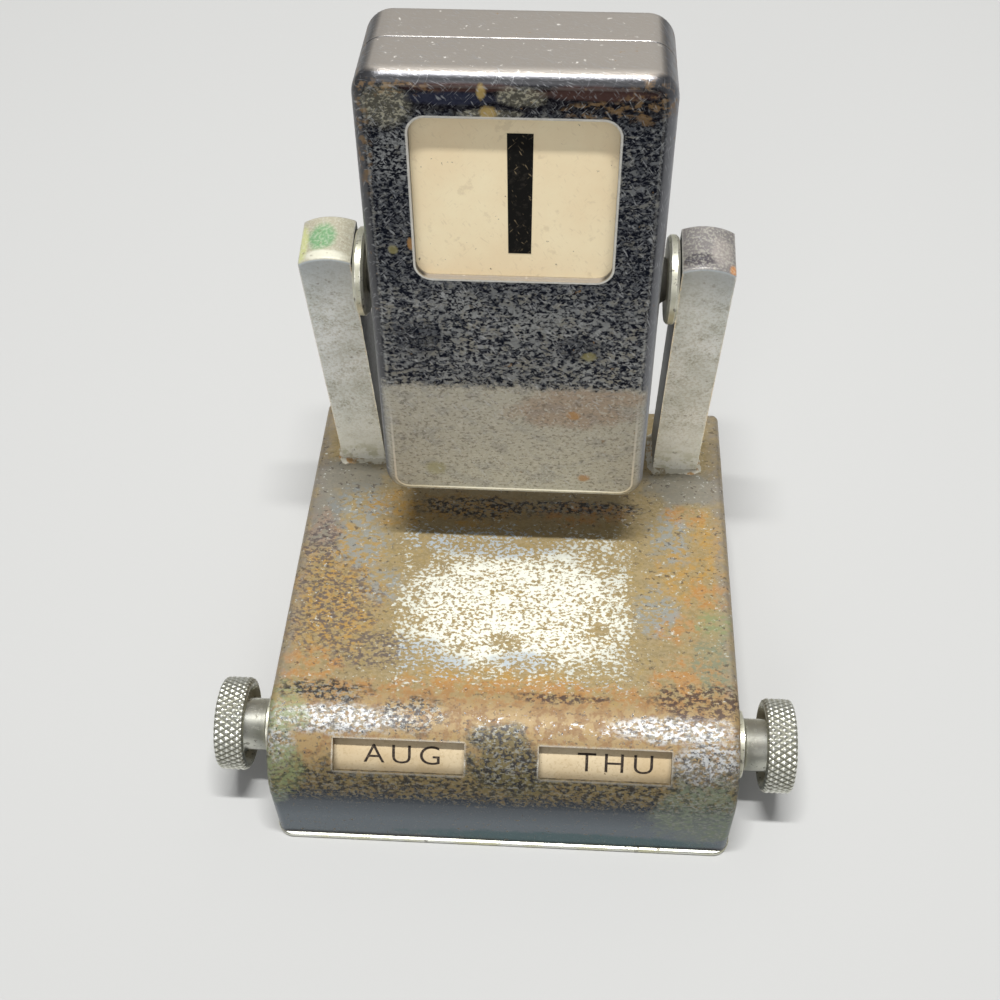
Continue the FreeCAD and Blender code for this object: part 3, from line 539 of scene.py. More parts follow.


# Finishes. A layer is a row: red, green, blue, roughness, metal, where it lies, how much it covers,
# then its grain, if any, and what is left of it between the specks, if anything.

# Base: the painted pool of reflected light in the middle and what lifts its flecks, then shares of the
# wander, the dark wall (a painted dark reflection) and the relief.
LIGHT_POOL_MIDDLE = 0.7 * MM
LIGHT_POOL_LEVEL = {"start": 0.66, "inside": -0.125, "heart": -0.058, "holes": 0.1}
SIDE_WANDER, BACK_WANDER = 0.4, 0.6
DARK_TOP = 0.8
SMOOTH_FRONT = 0.15
PIT_DEPTH = 0.6
BASE_LAYERS = {
    "film": (154, 132, 80, 0.52, 0.2, "top", 1, "mottle", 0.85),
    "olive_flecks": (88, 81, 49, 0.52, 0.25, "deck", 0.28, "flakes"),
    "grey_sides": (134, 120, 90, 0.48, 0.35, "outer", 0.5, "mottle", 0.4),
    "grey_film": (134, 120, 90, 0.48, 0.35, "deck", 0.4, "broad"),
    "ochre": (159, 124, 59, 0.55, 0.15, "ochre", 0.95, "film_flakes", 0.18),
    "orange": (160, 114, 58, 0.55, 0.15, "orange", 0.85, "film_flakes"),
    "pale_flecks": (166, 150, 118, 0.48, 0.3, "deck", 0.34, "fine"),
    "smears": (146, 149, 145, 0.42, 0.45, "smears", 0.8, "smears"),
    "foot_film": (130, 136, 138, 0.4, 0.6, "feet", 0.5),
    "warm_nose": (130, 99, 60, 0.6, 0.08, "nose", 1, "film_flakes", 0.45),
    "pale_nose": (144, 122, 84, 0.56, 0.12, "nose", 0.45, "fine"),
    # A painted reflection along the rounded side edges of the deck.
    "painted_edge_reflection": (142, 134, 124, 0.38, 0.6, "edge", 0.65, "mottle", 0.4),
    # The next three rows paint a pool of reflected light on the deck as pale flecks.
    "worn": (198, 200, 190, 0.46, 0.3, "sparkle", 0.92),
    "light_pool_heart": (226, 225, 209, 0.48, 0.2, "sparkle heart", 0.92),
    "light_pool_blue": (160, 172, 184, 0.45, 0.4, "sparkle blue_worn", 0.75),
    # The silver rows: bare chrome on the nose, partly a painted highlight; silver_glints are painted
    # highlight specks.
    "silver_ground": (112, 110, 100, 0.5, 0.4, "silver", 0.85, "flakes", 0.25),
    "silver": (176, 178, 178, 0.48, 0.4, "silver", 0.85, "silver"),
    "silver_dark": (58, 57, 62, 0.48, 0.35, "silver", 0.7, "silver_dark"),
    "silver_glints": (176, 178, 178, 0.48, 0.4, "glints", 0.9, "glints"),
    "olive_band": (88, 81, 49, 0.52, 0.25, "under", 0.65),
    "olive_dark": (32, 31, 30, 0.45, 0.4, "under", 0.9, "soot"),
    "band_flecks": (142, 142, 134, 0.42, 0.45, "under", 0.35, "soot_flecks"),
    "green": (122, 130, 88, 0.6, 0.15, "green", 0.75, "flakes", 0.333),
    "grey_green": (112, 120, 98, 0.55, 0.25, "grey_green", 0.75, "flakes", 0.333),
    "purple": (86, 76, 74, 0.52, 0.3, "purple", 0.85, "purple"),
    "olive_middle": (88, 81, 49, 0.52, 0.25, "nose_middle", 0.8),
    "soot": (33, 32, 35, 0.45, 0.4, "soot", 0.92, "soot"),
    "soot_flecks": (142, 142, 134, 0.42, 0.45, "soot", 0.6, "soot_flecks"),
    "red_soot": (58, 40, 38, 0.5, 0.3, "red_soot", 0.85, "soot"),
    "grit": (62, 52, 46, 0.55, 0.25, "unworn", 0.7, "grit"),
    # front_wall and front_dark: the smooth front wall darkened as a painted reflection of dark
    # surroundings, darkest at its top and foot.
    "front_wall": (96, 104, 111, 0.26, 1, "front", 1),
    "front_dark": (34, 37, 45, 0.26, 1, "dark", 1),
    "front_teal": (52, 84, 88, 0.26, 0.9, "front teal", 0.8),
    "front_green": (112, 122, 102, 0.5, 0.4, "front front_green", 1, "flakes", 0.4),
    "green_flecks": (142, 142, 134, 0.42, 0.45, "front_green", 0.6, "soot_flecks"),
}


def base_zones(finish):
    """Masks of the base: its smooth front wall, its nose, its deck and the painted pool of reflected light
    in the middle of that.
    """
    x, y, z = (finish.along(axis) for axis in (X_AXIS, Y_AXIS, Z_AXIS))
    wander = finish.wobble("border")
    aside = abs(x)
    front = (z.past("front_height") + finish.wobble("front")).over_limit("front")
    front = front * y.past("front_place")
    nose = ~front * (y + wander).past("nose_place")
    deck = ~front * ~nose
    inside = (abs(x - LIGHT_POOL_MIDDLE) + wander * SIDE_WANDER).past("light_pool_side")
    inside = inside * (y + wander).past("light_pool_front") * (y + wander * BACK_WANDER).past("light_pool_back")
    return {
        "front": front, "nose": nose, "deck": deck, "top": ~front, "unworn": ~front * ~inside,
        "outer": deck * (aside.past("deck_side") | y.past("deck_back")),
        # edge: where the painted edge reflection lies.
        "edge": deck * aside.past("deck_edge"),
        "under": nose * (z + wander).past("under_windows"),
        # dark: a painted dark reflection at the top and foot of the front wall.
        "dark": front * (z.past("front_top") * DARK_TOP | z.past("front_foot")),
        # sparkle: the flecks of the painted pool of reflected light.
        "sparkle": painted_light_flecks(finish, inside) * deck,
    }


def painted_light_flecks(finish, inside):
    """Pale flecks that paint a pool of reflected light on the deck, crowding towards its heart."""
    level = inside * LIGHT_POOL_LEVEL["inside"] + finish.patches("heart") * LIGHT_POOL_LEVEL["heart"]
    level = level + LIGHT_POOL_LEVEL["start"] + finish.wobble("clusters")
    return finish.grain("sparkle", level + finish.patches("holes") * LIGHT_POOL_LEVEL["holes"])


def tarnished_plate():
    """Chrome of the base: ochre film, a painted pool of reflected light in the middle, green ends, painted
    highlights on the nose and a dark smooth front, its darkness a painted reflection.
    """
    finish = Finish("tarnished_plate", "bare_plate")
    zones = base_zones(finish)
    finish.lay(BASE_LAYERS, zones)
    finish.worn_edges("worn_edge")
    height = finish.noise("base") + finish.grain("mottle") * PIT_DEPTH
    return finish.finished(height * (zones["top"] | SMOOTH_FRONT), NOISES["base"][3])


# Case: how pits crowd, thin out in the voids and beside the window, and the two shares of the bright frame
# line, part worn edge and part painted highlight.
CROWD, CROWD_LEAST = 0.35, 0.62
VOID = 0.75
BESIDE_LEVEL, BESIDE_FADE = 0.045, 0.4
FRAME_SHARE, FRAME_LEAST = 0.85, 0.08
CASE_LAYERS = {
    "pits": (146, 148, 147, 0.48, 0.55, "pits", 1),
    "tiny_pits": (112, 115, 120, 0.46, 0.6, "face", 0.5, "tiny"),
    "olive_pits": (124, 118, 100, 0.5, 0.45, "pits", 0.7, "pit_groups"),
    "dust": (146, 148, 147, 0.48, 0.55, "dust", 0.7, "tiny"),
    # above: a painted dark reflection above the window.
    "above": (24, 21, 26, 0.24, 1, "above", 0.72),
    "brown_streaks": (84, 60, 54, 0.32, 0.85, "streaks", 0.85),
    "blue_streak": (52, 56, 76, 0.3, 0.9, "blue", 0.7),
    "pale_marks": (156, 152, 132, 0.48, 0.35, "pale", 0.9, "tiny", 0.3),
    # flank: sides darkened as a painted dark reflection; glint: a painted highlight along the right flank.
    "flank": (88, 88, 90, 0.34, 0.8, "flank", 0.8),
    "glint": (176, 178, 184, 0.34, 0.85, "glint", 0.35),
    # The low rows: the lower face paler and browner, a painted reflection of the base, with its own specks
    # and streaks.
    "low": (178, 174, 160, 0.42, 0.6, "low", 0.95),
    "low_brown": (150, 124, 102, 0.44, 0.55, "low brown", 0.6),
    "low_streaks": (112, 115, 120, 0.46, 0.6, "low", 0.25, "streaks"),
    "low_dark": (92, 84, 70, 0.5, 0.45, "low", 0.55, "low_dark"),
    "low_pale": (196, 193, 182, 0.42, 0.65, "low", 0.55, "low_pale"),
    "crest": (163, 156, 147, 0.46, 0.6, "crest", 0.95),
    "crest_flecks": (228, 224, 216, 0.45, 0.5, "crest", 0.9, "crest_flecks"),
    "rusty": (132, 103, 62, 0.6, 0.15, "rusty", 0.6, "rust_flakes"),
    "rust": (132, 103, 62, 0.6, 0.15, "", 0.6, "rust"),
    "drip": (160, 136, 76, 0.6, 0.1, "drip", 0.85),
    "yellow_dots": (148, 140, 88, 0.6, 0.1, "yellow_dots", 0.6),
    "orange_dots": (164, 120, 62, 0.6, 0.1, "orange_dots", 0.75),
}
# Bright lines round the faces and windows: part worn bright edge, part painted highlight, the frame line
# strongest along the foot of the faces.
CASE_LINES = {
    "frame_line": (238, 236, 228, 0.28, 0.85, "frame", 1),
    "window_line": (238, 236, 228, 0.28, 0.85, "windows", 0.85),
}


def outline_line(finish, corners, sizes, middle_sign=1):
    """A thin line along a rounded outline on the case."""
    corner = sizes["corner"]
    reach_x = sizes["half"] - corner
    reach_z = (sizes["high"] - sizes["low"]) / 2 - corner
    middle = (sizes["high"] + sizes["low"]) / 2 * middle_sign
    across, height = corners
    past_x = (abs(across) - reach_x) | 0
    past_z = (abs(height - middle) - reach_z) | 0
    outer = add(finish.tree, "ShaderNodeCombineXYZ", {0: past_x, 1: past_z}).outputs[0]
    from_line = measure(finish.tree, "LENGTH", outer) - (corner - sizes["inset"])
    return from_line.past(f"{sizes['line']}_outer") * from_line.past(f"{sizes['line']}_inner")


def line_zones(finish, corners, ahead):
    """Masks of the bright lines round the faces and windows of the case, part worn edge and part painted
    highlight.
    """
    frame_line = outline_line(finish, corners, CASE_FACE) * abs(ahead).over_limit("frame_line")
    front = outline_line(finish, corners, FACE_WINDOW) * ahead.over_limit("window_line")
    rear = outline_line(finish, corners, FACE_WINDOW, -1) * (ahead * -1).over_limit("window_line")
    frame_share = corners[1].past("case_foot") * FRAME_SHARE | FRAME_LEAST
    return {"frame": frame_line * frame_share, "windows": front | rear}


def pits_mask(finish, face, height, upright):
    """Pale pits: crowded in places, sparse in others, fainter beside the window."""
    beside = height.past("beside_window")
    pits = finish.grain("pits", beside * BESIDE_LEVEL + GRAINS["pits"][1])
    crowd = finish.grain("cloud") * CROWD + CROWD_LEAST
    sparse = ~(finish.patches("voids", upright) * VOID)
    return pits * face * crowd * sparse * ~(beside * BESIDE_FADE)


def case_zones(finish, upright, height):
    """Masks of the date case, with its heights measured upright about its pivot."""
    across = finish.along(X_AXIS)
    wander = finish.wobble("case_border")
    ahead = finish.facing(CASE_AHEAD)
    crest = abs(finish.facing(CASE_UP)).over_limit("crest")
    face = abs(ahead).over_limit("face")
    flank = ~face * ~crest
    zones = {
        "face": face, "crest": crest, "flank": flank, "glint": flank * across.past("right_side"),
        # low: where the painted reflection of the base lies on the lower face.
        "low": (height + wander + finish.wobble("case_specks")).past("case_low"),
        "above": (height + wander).past("case_above"),
        "pits": pits_mask(finish, face, height, upright),
    }
    zones["low"] = zones["low"] * abs(ahead).over_limit("low_face")
    return zones | line_zones(finish, (across, height), ahead)


def pitted_plate():
    """Chrome of the date case: dark as a painted reflection and speckled with pits, duller and paler lower
    down where a reflection of the base is painted, warm on top.
    """
    finish = Finish("pitted_plate", "case_painted_dark_reflection")
    from_pivot = move(finish.tree, "SUBTRACT", finish.place, PIVOT)
    height = measure(finish.tree, "DOT_PRODUCT", from_pivot, CASE_UP)
    upright = add(finish.tree, "ShaderNodeCombineXYZ", {0: finish.along(X_AXIS), 2: height}).outputs[0]
    zones = case_zones(finish, upright, height)
    finish.lay(CASE_LAYERS, zones, upright)
    finish.scratches("case")
    finish.lay(CASE_LINES, zones)
    finish.worn_edges("case_edge")
    return finish.finished(finish.noise("case") - finish.grain("pits") * PIT_DEPTH, NOISES["case"][3])


RIM_LAYERS = {
    "stain": (196, 192, 136, 0.35, 0.9, "", 0.6, "stain"),
    "under": (96, 90, 80, 0.55, 0.7, "under", 0.9),
    "under_dark": (60, 50, 40, 0.65, 0.3, "under", 1, "under_flakes"),
    "above": (150, 150, 144, 0.32, 0.95, "above", 0.8),
    "specks": (80, 72, 58, 0.5, 0.4, "", 0.8, "rim_specks"),
}


def bright_rim():
    """The floor plate: bright at its edge, dull underneath."""
    finish = Finish("bright_rim", "rim")
    finish.lay(RIM_LAYERS, {
        "above": finish.facing(Z_AXIS).over_limit("rim_above"),
        "under": finish.facing((0, 0, -1)).over_limit("rim_under"),
    })
    return finish.grained("rim")


ARM_LAYERS = {
    "cloud": (224, 229, 224, 0.46, 0.3, "", 0.8, "arm_cloud"),
    "fine": (192, 190, 174, 0.5, 0.35, "", 0.45, "arm_fine"),
    "stain": (146, 140, 110, 0.52, 0.25, "stains", 0.6, "crown_specks"),
    "foot": (255, 255, 246, 0.44, 0.3, "foot", 0.9),
    "foot_olive": (190, 188, 152, 0.5, 0.35, "base", 0.6, "foot_stains"),
    "top": (170, 177, 182, 0.4, 0.65, "high", 0.8),
}
LEFT_CROWN = {
    "beige": (156, 150, 128, 0.62, 0.15, "top", 0.95),
    "green": (96, 138, 94, 0.65, 0.1, "top green_mark", 0.95),
    "pale": (206, 204, 186, 0.6, 0.2, "top left_mark", 0.8),
    "yellow": (176, 180, 120, 0.62, 0.1, "top yellow_mark", 0.8),
}
RIGHT_CROWN = {
    "mauve": (108, 102, 99, 0.58, 0.3, "top", 0.95),
    "dark": (60, 54, 60, 0.5, 0.4, "top dark_mark", 0.85),
    "pale": (160, 152, 146, 0.5, 0.5, "top right_mark", 0.7),
    "rust": (176, 118, 62, 0.6, 0.15, "top rust_mark", 0.9),
}
LAST_ARM_LAYERS = {
    "crown_pale": (206, 204, 186, 0.6, 0.2, "top", 0.28, "crown_specks"),
    # inner: the inner faces of the arms darkened, a painted dark reflection.
    "inner": (28, 27, 25, 0.7, 0.1, "inner", 0.85),
    "specks": (112, 100, 80, 0.6, 0.3, "", 0.6, "arm_specks"),
}


def worn_bar(name, crown):
    """Metal of an arm: soft silver with faint stains, brighter at its foot, a stained crown."""
    finish = Finish(name, "arm")
    height = finish.along(Z_AXIS)
    zones = {
        "stains": finish.grain("arm_stains"), "foot": height.past("arm_low"),
        "top": finish.facing(Z_AXIS).over_limit("crown"),
        "base": height.past("arm_base"), "high": height.past("arm_high"),
        # inner: the inner faces, where the painted dark reflection lies.
        "inner": (finish.facing(X_AXIS) * finish.along(X_AXIS)).past("arm_inner"),
    }
    for layers in (ARM_LAYERS, crown, LAST_ARM_LAYERS):
        finish.lay(layers, zones)
    finish.scratches("arm")
    finish.worn_edges("arm_edge")
    return finish.grained("arm")


METAL_SPECKS = 0.8
INK_SHINE = 0.15


def plain_finish(name, base, relief, layers, scratches="", edge=""):
    """A finish with the same layers all over."""
    finish = Finish(name, base)
    finish.lay(layers)
    if scratches:
        finish.scratches(scratches)
    if edge:
        finish.worn_edges(edge)
    return finish.grained(relief)


def plain_metal(name, base):
    """A small metal part with clouding, specks and worn edges."""
    layers = {
        "cloud": (*TONES[f"{base}_dull"], "", 1, "small_cloud"),
        "specks": (*TONES["small_speck"], "", METAL_SPECKS, "small_specks"),
    }
    return plain_finish(name, base, "small", layers, edge="small_edge")


def print_ink(name):
    """Ink that is a little thin in places, and dull."""
    layers = {"thin": (*TONES[f"{name}_thin"], "", 1, "thin_ink")}
    material = plain_finish(name, name, "ink", layers, "ink")
    material.node_tree.nodes["Principled BSDF"].inputs["Specular IOR Level"].default_value = INK_SHINE
    return material


TILE_LAYERS = {
    "warm": (240, 218, 178, 0.46, 0, "", 1, "ivory_cloud"),
    "stain": (196, 174, 138, 0.5, 0, "", 0.3, "ivory_stains"),
    "specks": (110, 92, 70, 0.5, 0, "", 1, "ivory_specks"),
}
PAPER_LAYERS = {
    "warm": (198, 176, 138, 0.66, 0, "", 1, "paper_cloud"),
    "fibres": (182, 160, 122, 0.7, 0, "", 0.5, "paper_fibres"),
    "specks": (112, 90, 62, 0.7, 0, "", 1, "paper_specks"),
}
SOLDER_LAYERS = {
    "dimples": (140, 128, 102, 0.6, 0.4, "", 1, "dimples"),
    "stains": (150, 118, 74, 0.6, 0.3, "", 1, "solder_stains"),
}
KNOB_LAYERS = {
    "cloud": (186, 185, 168, 0.42, 0.9, "", 1, "small_cloud"),
    "grooves": (58, 56, 46, 0.55, 0.6, "groove", 0.9),
    "tips": (244, 244, 236, 0.26, 1, "tip", 0.85),
    "specks": (84, 78, 60, 0.6, 0.3, "", 0.7, "small_specks"),
}


def knurled_silver():
    """Silver of the knobs: bright diamond tips and dirt in the grooves."""
    finish = Finish("knurled_silver", "knob")
    attribute = add(finish.tree, "ShaderNodeAttribute", attribute_name="tip", attribute_type="GEOMETRY")
    tip = Value(finish.tree, attribute.outputs["Fac"])
    finish.lay(KNOB_LAYERS, {"groove": tip.over_limit("groove"), "tip": tip.over_limit("tip")})
    return finish.grained("knob")


# Mesh helpers

def new_object(name, data):
    """An object in the scene."""
    thing = bpy.data.objects.new(name, data)
    bpy.context.scene.collection.objects.link(thing)
    return thing


def new_piece(name, bm, finish, body, smooth=True):
    """A mesh object from a bmesh, with its finish and the body that it rides on."""
    mesh = bpy.data.meshes.new(name)
    bm.to_mesh(mesh)
    bm.free()
    for face in mesh.polygons:
        face.use_smooth = smooth
    piece = new_object(name, mesh)
    mesh.materials.append(FINISHES[finish])
    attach(piece, body)
    return piece


def ring_faces(bm, rows):
    """Join closed rows of vertices into quads."""
    for near, far in zip(rows, rows[1:]):
        count = len(near)
        for index in range(count):
            after = (index + 1) % count
            bm.faces.new((near[index], near[after], far[after], far[index]))


# Knobs

KNURL_COUNT = 44
KNURL_SLOPE = 0.62
KNURL_DEPTH = 0.26 * MM
STEPS_PER_TIP = 8
KNURL_SHARPNESS = 1.3
KNURL_FADE = 0.35
PLAIN_TIP = 0.6
BAND_ROWS = 44
BAND_EDGE = 0.6 * MM
SHAFT_RADIUS = 1.6 * MM
NECK_RADIUS = 3.4 * MM
NECK_GAP = 0.2 * MM
HOLLOW_DEPTH = 0.95 * MM
HOLLOW_EDGE = 0.5 * MM
HOLLOW_RIM = 0.7 * MM
LIP = 0.3 * MM
FACE_DISH = 0.15 * MM
FACE_MIDDLE = 0.05 * MM


def knob_hub():
    """The knob's outline from the flange to the inner edge of its band."""
    throat = FLANGE_END + NECK_GAP
    hollow = KNOB_START + HOLLOW_DEPTH
    lip = KNOB_RADIUS - BAND_EDGE
    return [
        (throat, SHAFT_RADIUS), (throat, NECK_RADIUS - NECK_GAP), (throat + NECK_GAP, NECK_RADIUS),
        (hollow - HOLLOW_EDGE, NECK_RADIUS), (hollow, NECK_RADIUS + HOLLOW_EDGE),
        (hollow, lip - HOLLOW_RIM), (KNOB_START, lip - LIP), (KNOB_START, lip),
    ]


def knob_band():
    """The rounded band of the knob: place, radius and how deep the knurl is there."""
    for step in range(1, BAND_ROWS):
        x = KNOB_START + KNOB_WIDTH * step / BAND_ROWS
        from_end = min(x - KNOB_START, KNOB_END - x)
        inset = max(0, BAND_EDGE - from_end)
        drop = BAND_EDGE - math.sqrt(BAND_EDGE**2 - inset**2)
        yield x, KNOB_RADIUS - drop, min(1, KNURL_FADE + from_end / BAND_EDGE)


def knob_section():
    """The whole outline: place along the axle, radius and depth of the knurl."""
    lip = KNOB_RADIUS - BAND_EDGE
    end = [
        (KNOB_END, lip), (KNOB_END, lip - LIP), (KNOB_END - FACE_DISH, lip - HOLLOW_RIM),
        (KNOB_END - FACE_DISH, FACE_MIDDLE),
    ]
    hub = [(x, radius, 0) for x, radius in knob_hub()]
    return hub + list(knob_band()) + [(x, radius, 0) for x, radius in end]


def knurl_height(x, angle):
    """Height of the diamond pattern from 0 in the grooves to 1 on a tip."""
    along = KNURL_SLOPE * (x - KNOB_START) / KNOB_RADIUS
    waves = []
    for slope in (1, -1):
        phase = KNURL_COUNT * (angle + slope * along) / (2 * math.pi)
        waves.append(2 * abs(phase - math.floor(phase) - 0.5))
    return 1 - max(waves) ** KNURL_SHARPNESS


def make_knob(name, body, sign):
    """A knurled end knob, turned as one piece with its neck."""
    bm = bmesh.new()
    tip = bm.verts.layers.float.new("tip")
    steps = KNURL_COUNT * STEPS_PER_TIP
    rows = []
    for x, radius, depth in knob_section():
        row = []
        for step in range(steps):
            angle = 2 * math.pi * step / steps
            height = knurl_height(x, angle) if depth else PLAIN_TIP
            reach = radius - depth * KNURL_DEPTH * (1 - height)
            y, z = AXLE_Y + reach * math.cos(angle), AXLE_Z + reach * math.sin(angle)
            vertex = bm.verts.new((sign * x, y, z))
            vertex[tip] = height
            row.append(vertex)
        rows.append(row)
    ring_faces(bm, rows)
    bm.faces.new(rows[-1])
    bmesh.ops.recalc_face_normals(bm, faces=bm.faces)
    piece = new_piece(f"{name}_turned", bm, "knurled_silver", body)
    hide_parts(name)


# Words and numbers

CAP_HEIGHT = 2.55 * MM
CAP_SLICES = 12
CAP_FINENESS = 400
LETTER_SPACE = 1.32
LETTER_THINNING = -0.006
LETTER_STEPS = 5
WORD_STRETCH = 1.12
WORD_ANGLE = math.radians(46.5)
MONTH_MIDDLE = -12.8 * MM
WEEKDAY_MIDDLE = 14.4 * MM
MONTHS = "AUG SEP OCT NOV DEC JAN FEB MAR APR MAY JUN JUL".split()
WEEKDAYS = "THU FRI SAT SUN MON TUE WED".split()


def letter_mesh(text):
    """Flat letters as a bmesh, in the font's own size."""
    curve = bpy.data.curves.new("letters", "FONT")
    curve.body = text
    curve.space_character = LETTER_SPACE
    curve.offset = LETTER_THINNING
    curve.resolution_u = LETTER_STEPS
    maker = new_object("letters", curve)
    bpy.context.view_layer.update()
    mesh = bpy.data.meshes.new_from_object(maker)
    bpy.data.objects.remove(maker)
    bm = bmesh.new()
    bm.from_mesh(mesh)
    bpy.data.meshes.remove(mesh)
    bpy.data.curves.remove(curve)
    return bm


def letters(text):
    """A flat word, centred, with capitals of the right height and cut into slices."""
    bm = letter_mesh(text)
    xs = [vertex.co.x for vertex in bm.verts]
    ys = [vertex.co.y for vertex in bm.verts]
    scale = CAP_HEIGHT / (max(ys) - min(ys))
    middle = Vector(((min(xs) + max(xs)) / 2, (min(ys) + max(ys)) / 2, 0))
    for vertex in bm.verts:
        vertex.co = (vertex.co - middle) * scale
        vertex.co.x *= WORD_STRETCH
    bmesh.ops.remove_doubles(bm, verts=bm.verts, dist=CAP_HEIGHT / CAP_FINENESS)
    for number in range(1, CAP_SLICES):
        height = CAP_HEIGHT * (number / CAP_SLICES - 1 / 2)
        whole = bm.verts[:] + bm.edges[:] + bm.faces[:]
        bmesh.ops.bisect_plane(bm, geom=whole, plane_co=(0, height, 0), plane_no=Y_AXIS)
    return bm


def make_words(name, body, words, x_middle):
    """Words printed round a drum, the first one in its window."""
    bm = bmesh.new()
    radius = DRUM_RADIUS + INK_THICK
    for number, word in enumerate(words):
        flat = letters(word)
        start = WORD_ANGLE - 2 * math.pi * number / len(words)
        for vertex in flat.verts:
            angle = start + vertex.co.y / radius
            across = x_middle + vertex.co.x
            vertex.co = (across, AXLE_Y - radius * math.cos(angle), AXLE_Z + radius * math.sin(angle))
        mesh = bpy.data.meshes.new("word")
        flat.to_mesh(mesh)
        flat.free()
        bm.from_mesh(mesh)
        bpy.data.meshes.remove(mesh)
    piece = new_piece(name, bm, "drum_ink", body, smooth=False)


# Outlines of the two figures, across and up from the pivot, in millimetres.
ONE = ((-0.65, 8.1), (1.95, 8.1), (2.07, 23.3), (-0.77, 23.3))
TWO = (
    (-4.6, -8.8), (4.6, -8.8), (4.6, -11.0), (-2.4, -11.0), (-2.4, -14.2), (4.6, -14.2), (4.6, -21.8),
    (-4.6, -21.8), (-4.6, -19.6), (2.4, -19.6), (2.4, -16.4), (-4.6, -16.4),
)


def on_case(across, depth, height):
    """A point given in the upright case's own directions, about its pivot."""
    return PIVOT + Matrix.Rotation(-LEAN, 3, "X") @ Vector((across, depth, height))


def make_figure(name, body, outline, depth):
    """A thin printed figure on the tile behind a window of the case."""
    bm = bmesh.new()
    corners = outline if depth < 0 else outline[::-1]
    bm.faces.new([bm.verts.new(on_case(x * MM, depth, z * MM)) for x, z in corners])
    piece = new_piece(name, bm, "tile_ink", body, smooth=False)


# Solder round the feet of the arms

SOLDER_STEPS = 14
SOLDER_REACH = 0.75 * MM
SOLDER_ROWS = ((0, 0.75), (0.35, 0.28), (1, 0.02))
SOLDER_WAVES = (7.3, 2.1, 1.7)
SOLDER_UNEVEN = 0.35


def deck_height(y):
    """Height of the sloping top of the base at a place from front to back."""
    return BACK_HEIGHT + DECK_FALL * (BACK_PLACE - y)


def foot_edge(low, high):
    """Points round the foot of an arm: place, way out and how far the solder swells there."""
    corners = [(low[0], low[1]), (high[0], low[1]), (high[0], high[1]), (low[0], high[1])]
    ways = [(0, -1), (1, 0), (0, 1), (-1, 0)]
    side_wave, step_wave, slow_wave = SOLDER_WAVES
    for index, (corner, way) in enumerate(zip(corners, ways)):
        after = corners[(index + 1) % 4]
        for step in range(SOLDER_STEPS):
            spot = Vector((*corner, 0)).lerp(Vector((*after, 0)), step / SOLDER_STEPS)
            swell = math.sin(side_wave * index + step_wave * step) * math.sin(slow_wave * step)
            yield spot, Vector((*way, 0)), 1 + SOLDER_UNEVEN * swell


def make_solder(side, arm):
    """An uneven fillet where an arm meets the sloping base."""
    bm = bmesh.new()
    rows = [[] for _ in SOLDER_ROWS]
    for spot, way, swell in foot_edge(*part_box(arm)):
        for row, (grow, rise) in zip(rows, SOLDER_ROWS):
            place = spot + way * SOLDER_REACH * grow * swell
            place.z = deck_height(place.y) + SOLDER_REACH * rise * swell
            row.append(bm.verts.new(place))
    ring_faces(bm, rows)
    bmesh.ops.recalc_face_normals(bm, faces=bm.faces)
    piece = new_piece(f"{side}_solder", bm, "solder", "base")


# Floor, light and camera

# Places and sizes in metres, power in watts.
FLOOR_REACH = 1.6
LAMP_AIM = Vector((0, 0, 0.03))
LAMPS = {
    "key_strip": ((0, 0.045, 0.62), (0.26, 0.02), 4.9),
    "front_lamp": ((-0.12, -0.6, 0.5), (0.36, 0.36), 0.9),
    "wide_lamp": ((0, -0.1, 0.8), (0.6, 0.6), 0.4),
    "back_lamp": ((0.15, 0.55, 0.45), (0.4, 0.4), 0.3),
}
SKY_COLOUR = (0.9, 0.91, 0.94, 1)
SKY_STRENGTH = 0.26


def make_stage():
    """A plain pale floor."""
    bm = bmesh.new()
    bmesh.ops.create_grid(bm, x_segments=1, y_segments=1, size=FLOOR_REACH)
    mesh = bpy.data.meshes.new("floor")
    bm.to_mesh(mesh)
    bm.free()
    new_object("floor", mesh)
    mesh.materials.append(Finish("pale_floor", "floor").finished())


def make_light():
    """Soft studio light: a strip above, a soft lamp in front and weaker ones round it."""
    for name, (place, sizes, power) in LAMPS.items():
        data = bpy.data.lights.new(name, "AREA")
        data.shape = "RECTANGLE"
        data.size, data.size_y = sizes
        data.energy = power
        light = new_object(name, data)
        light.location = place
        light.rotation_euler = (LAMP_AIM - light.location).to_track_quat("-Z", "Y").to_euler()
    world = bpy.data.worlds.new("studio")
    world.use_nodes = True
    bpy.context.scene.world = world
    background = world.node_tree.nodes["Background"]
    background.inputs["Color"].default_value = SKY_COLOUR
    background.inputs["Strength"].default_value = SKY_STRENGTH


def make_camera():
    """The photograph's camera, from its place, three angles and focal length."""
    forward = Vector((math.sin(YAW) * math.cos(PITCH), math.cos(YAW) * math.cos(PITCH), -math.sin(PITCH)))
    level = Vector((math.cos(YAW), -math.sin(YAW), 0))
    down = forward.cross(level)
    right = math.cos(ROLL) * level + math.sin(ROLL) * down
    lower = -math.sin(ROLL) * level + math.cos(ROLL) * down
    data = bpy.data.cameras.new("camera")
    data.sensor_width = SENSOR
    data.lens = FOCAL_SHARE * SENSOR
    data.clip_start = NEAREST
    camera = new_object("camera", data)
    axes = Matrix((right, -lower, -forward)).transposed()
    camera.matrix_world = Matrix.Translation(CAMERA_PLACE) @ axes.to_4x4()
    bpy.context.scene.camera = camera


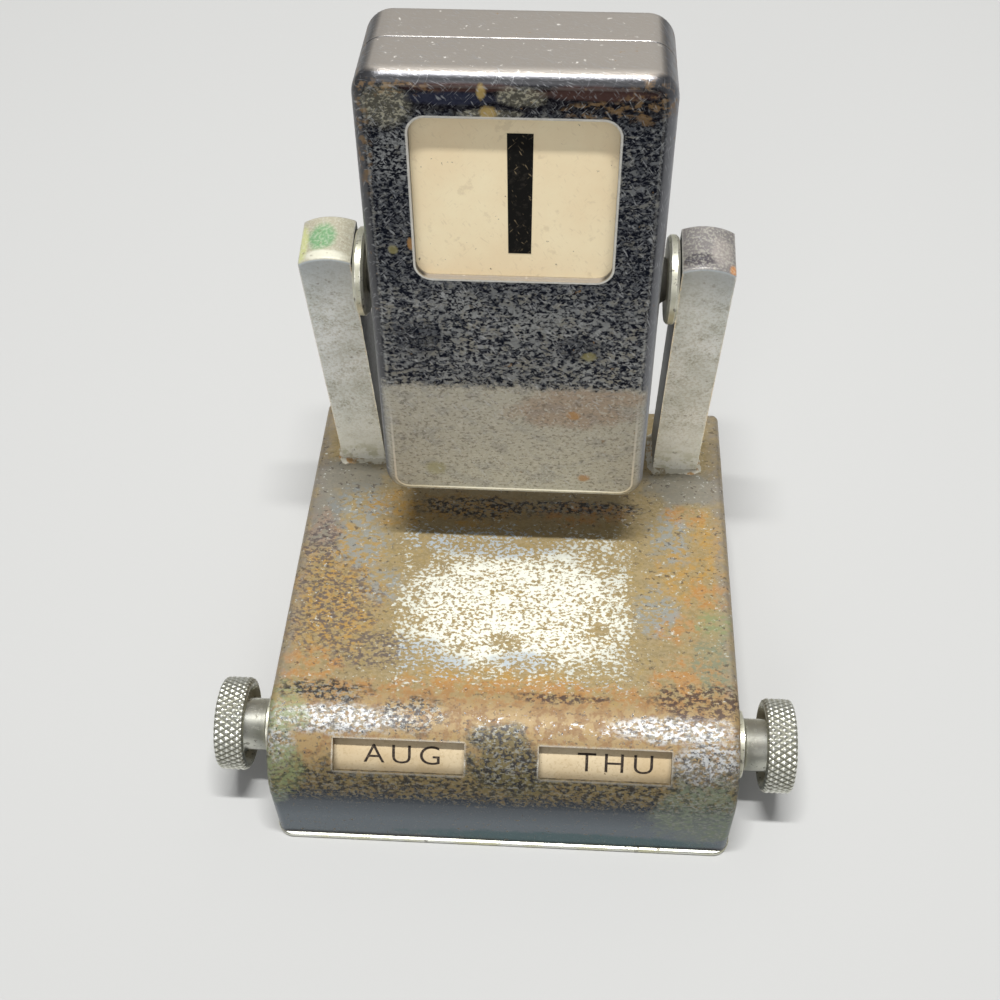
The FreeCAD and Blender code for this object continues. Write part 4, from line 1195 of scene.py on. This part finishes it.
MATERIALS = (
    tarnished_plate(),
    pitted_plate(),
    bright_rim(),
    worn_bar("left_bar", LEFT_CROWN),
    worn_bar("right_bar", RIGHT_CROWN),
    plain_metal("pale_metal", "pale_metal"),
    plain_metal("plain_steel", "steel"),
    plain_metal("turned_brass", "brass"),
    plain_finish("celluloid", "ivory", "tile", TILE_LAYERS, "tile"),
    plain_finish("aged_paper", "paper", "paper", PAPER_LAYERS),
    print_ink("tile_ink"),
    print_ink("drum_ink"),
    knurled_silver(),
    plain_finish("solder", "solder", "solder", SOLDER_LAYERS),
)
FINISHES = {material.name: material for material in MATERIALS}
DRESSED = {
    "tarnished_plate": ["base_shell"],
    "pitted_plate": ["front_shell", "rear_shell"],
    "bright_rim": ["base_plate"],
    "left_bar": ["left_arm"],
    "right_bar": ["right_arm"],
    "pale_metal": ["left_disc", "right_disc", "left_bushing", "right_bushing"],
    "turned_brass": ["left_hub_nut", "right_hub_nut", "centre_bearing"],
    "aged_paper": ["month_drum", "weekday_drum"],
    "celluloid": [f"date_tile_{number:02d}" for number in range(1, 32)],
    "plain_steel": [
        "base_screws", "base_lugs", "left_friction_washer", "right_friction_washer",
        "left_spring_washer", "right_spring_washer", "left_pivot_screw", "right_pivot_screw",
        "tile_guide_left", "tile_guide_right", "month_drum_pin", "weekday_drum_pin",
    ],
}


def dress():
    """Give the shown nodes their finishes."""
    for finish, nodes in DRESSED.items():
        for node in nodes:
            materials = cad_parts[node].data.materials
            materials.clear()
            materials.append(FINISHES[finish])


dress()
make_knob("month_knob", "month_wheel", -1)
make_knob("weekday_knob", "weekday_wheel", 1)
make_words("month_words", "month_wheel", MONTHS, MONTH_MIDDLE)
make_words("weekday_words", "weekday_wheel", WEEKDAYS, WEEKDAY_MIDDLE)
INK_DEPTH = HALF_DEPTH - CASE_WALL - SLOT_EASE + INK_THICK
make_figure("figure_one", "case", ONE, -INK_DEPTH)
make_figure("figure_two", "drop_tile", TWO, INK_DEPTH)
for side in ("left", "right"):
    make_solder(side, f"{side}_arm")
make_stage()
make_light()
make_camera()
bpy.context.scene.view_settings.view_transform = "Standard"
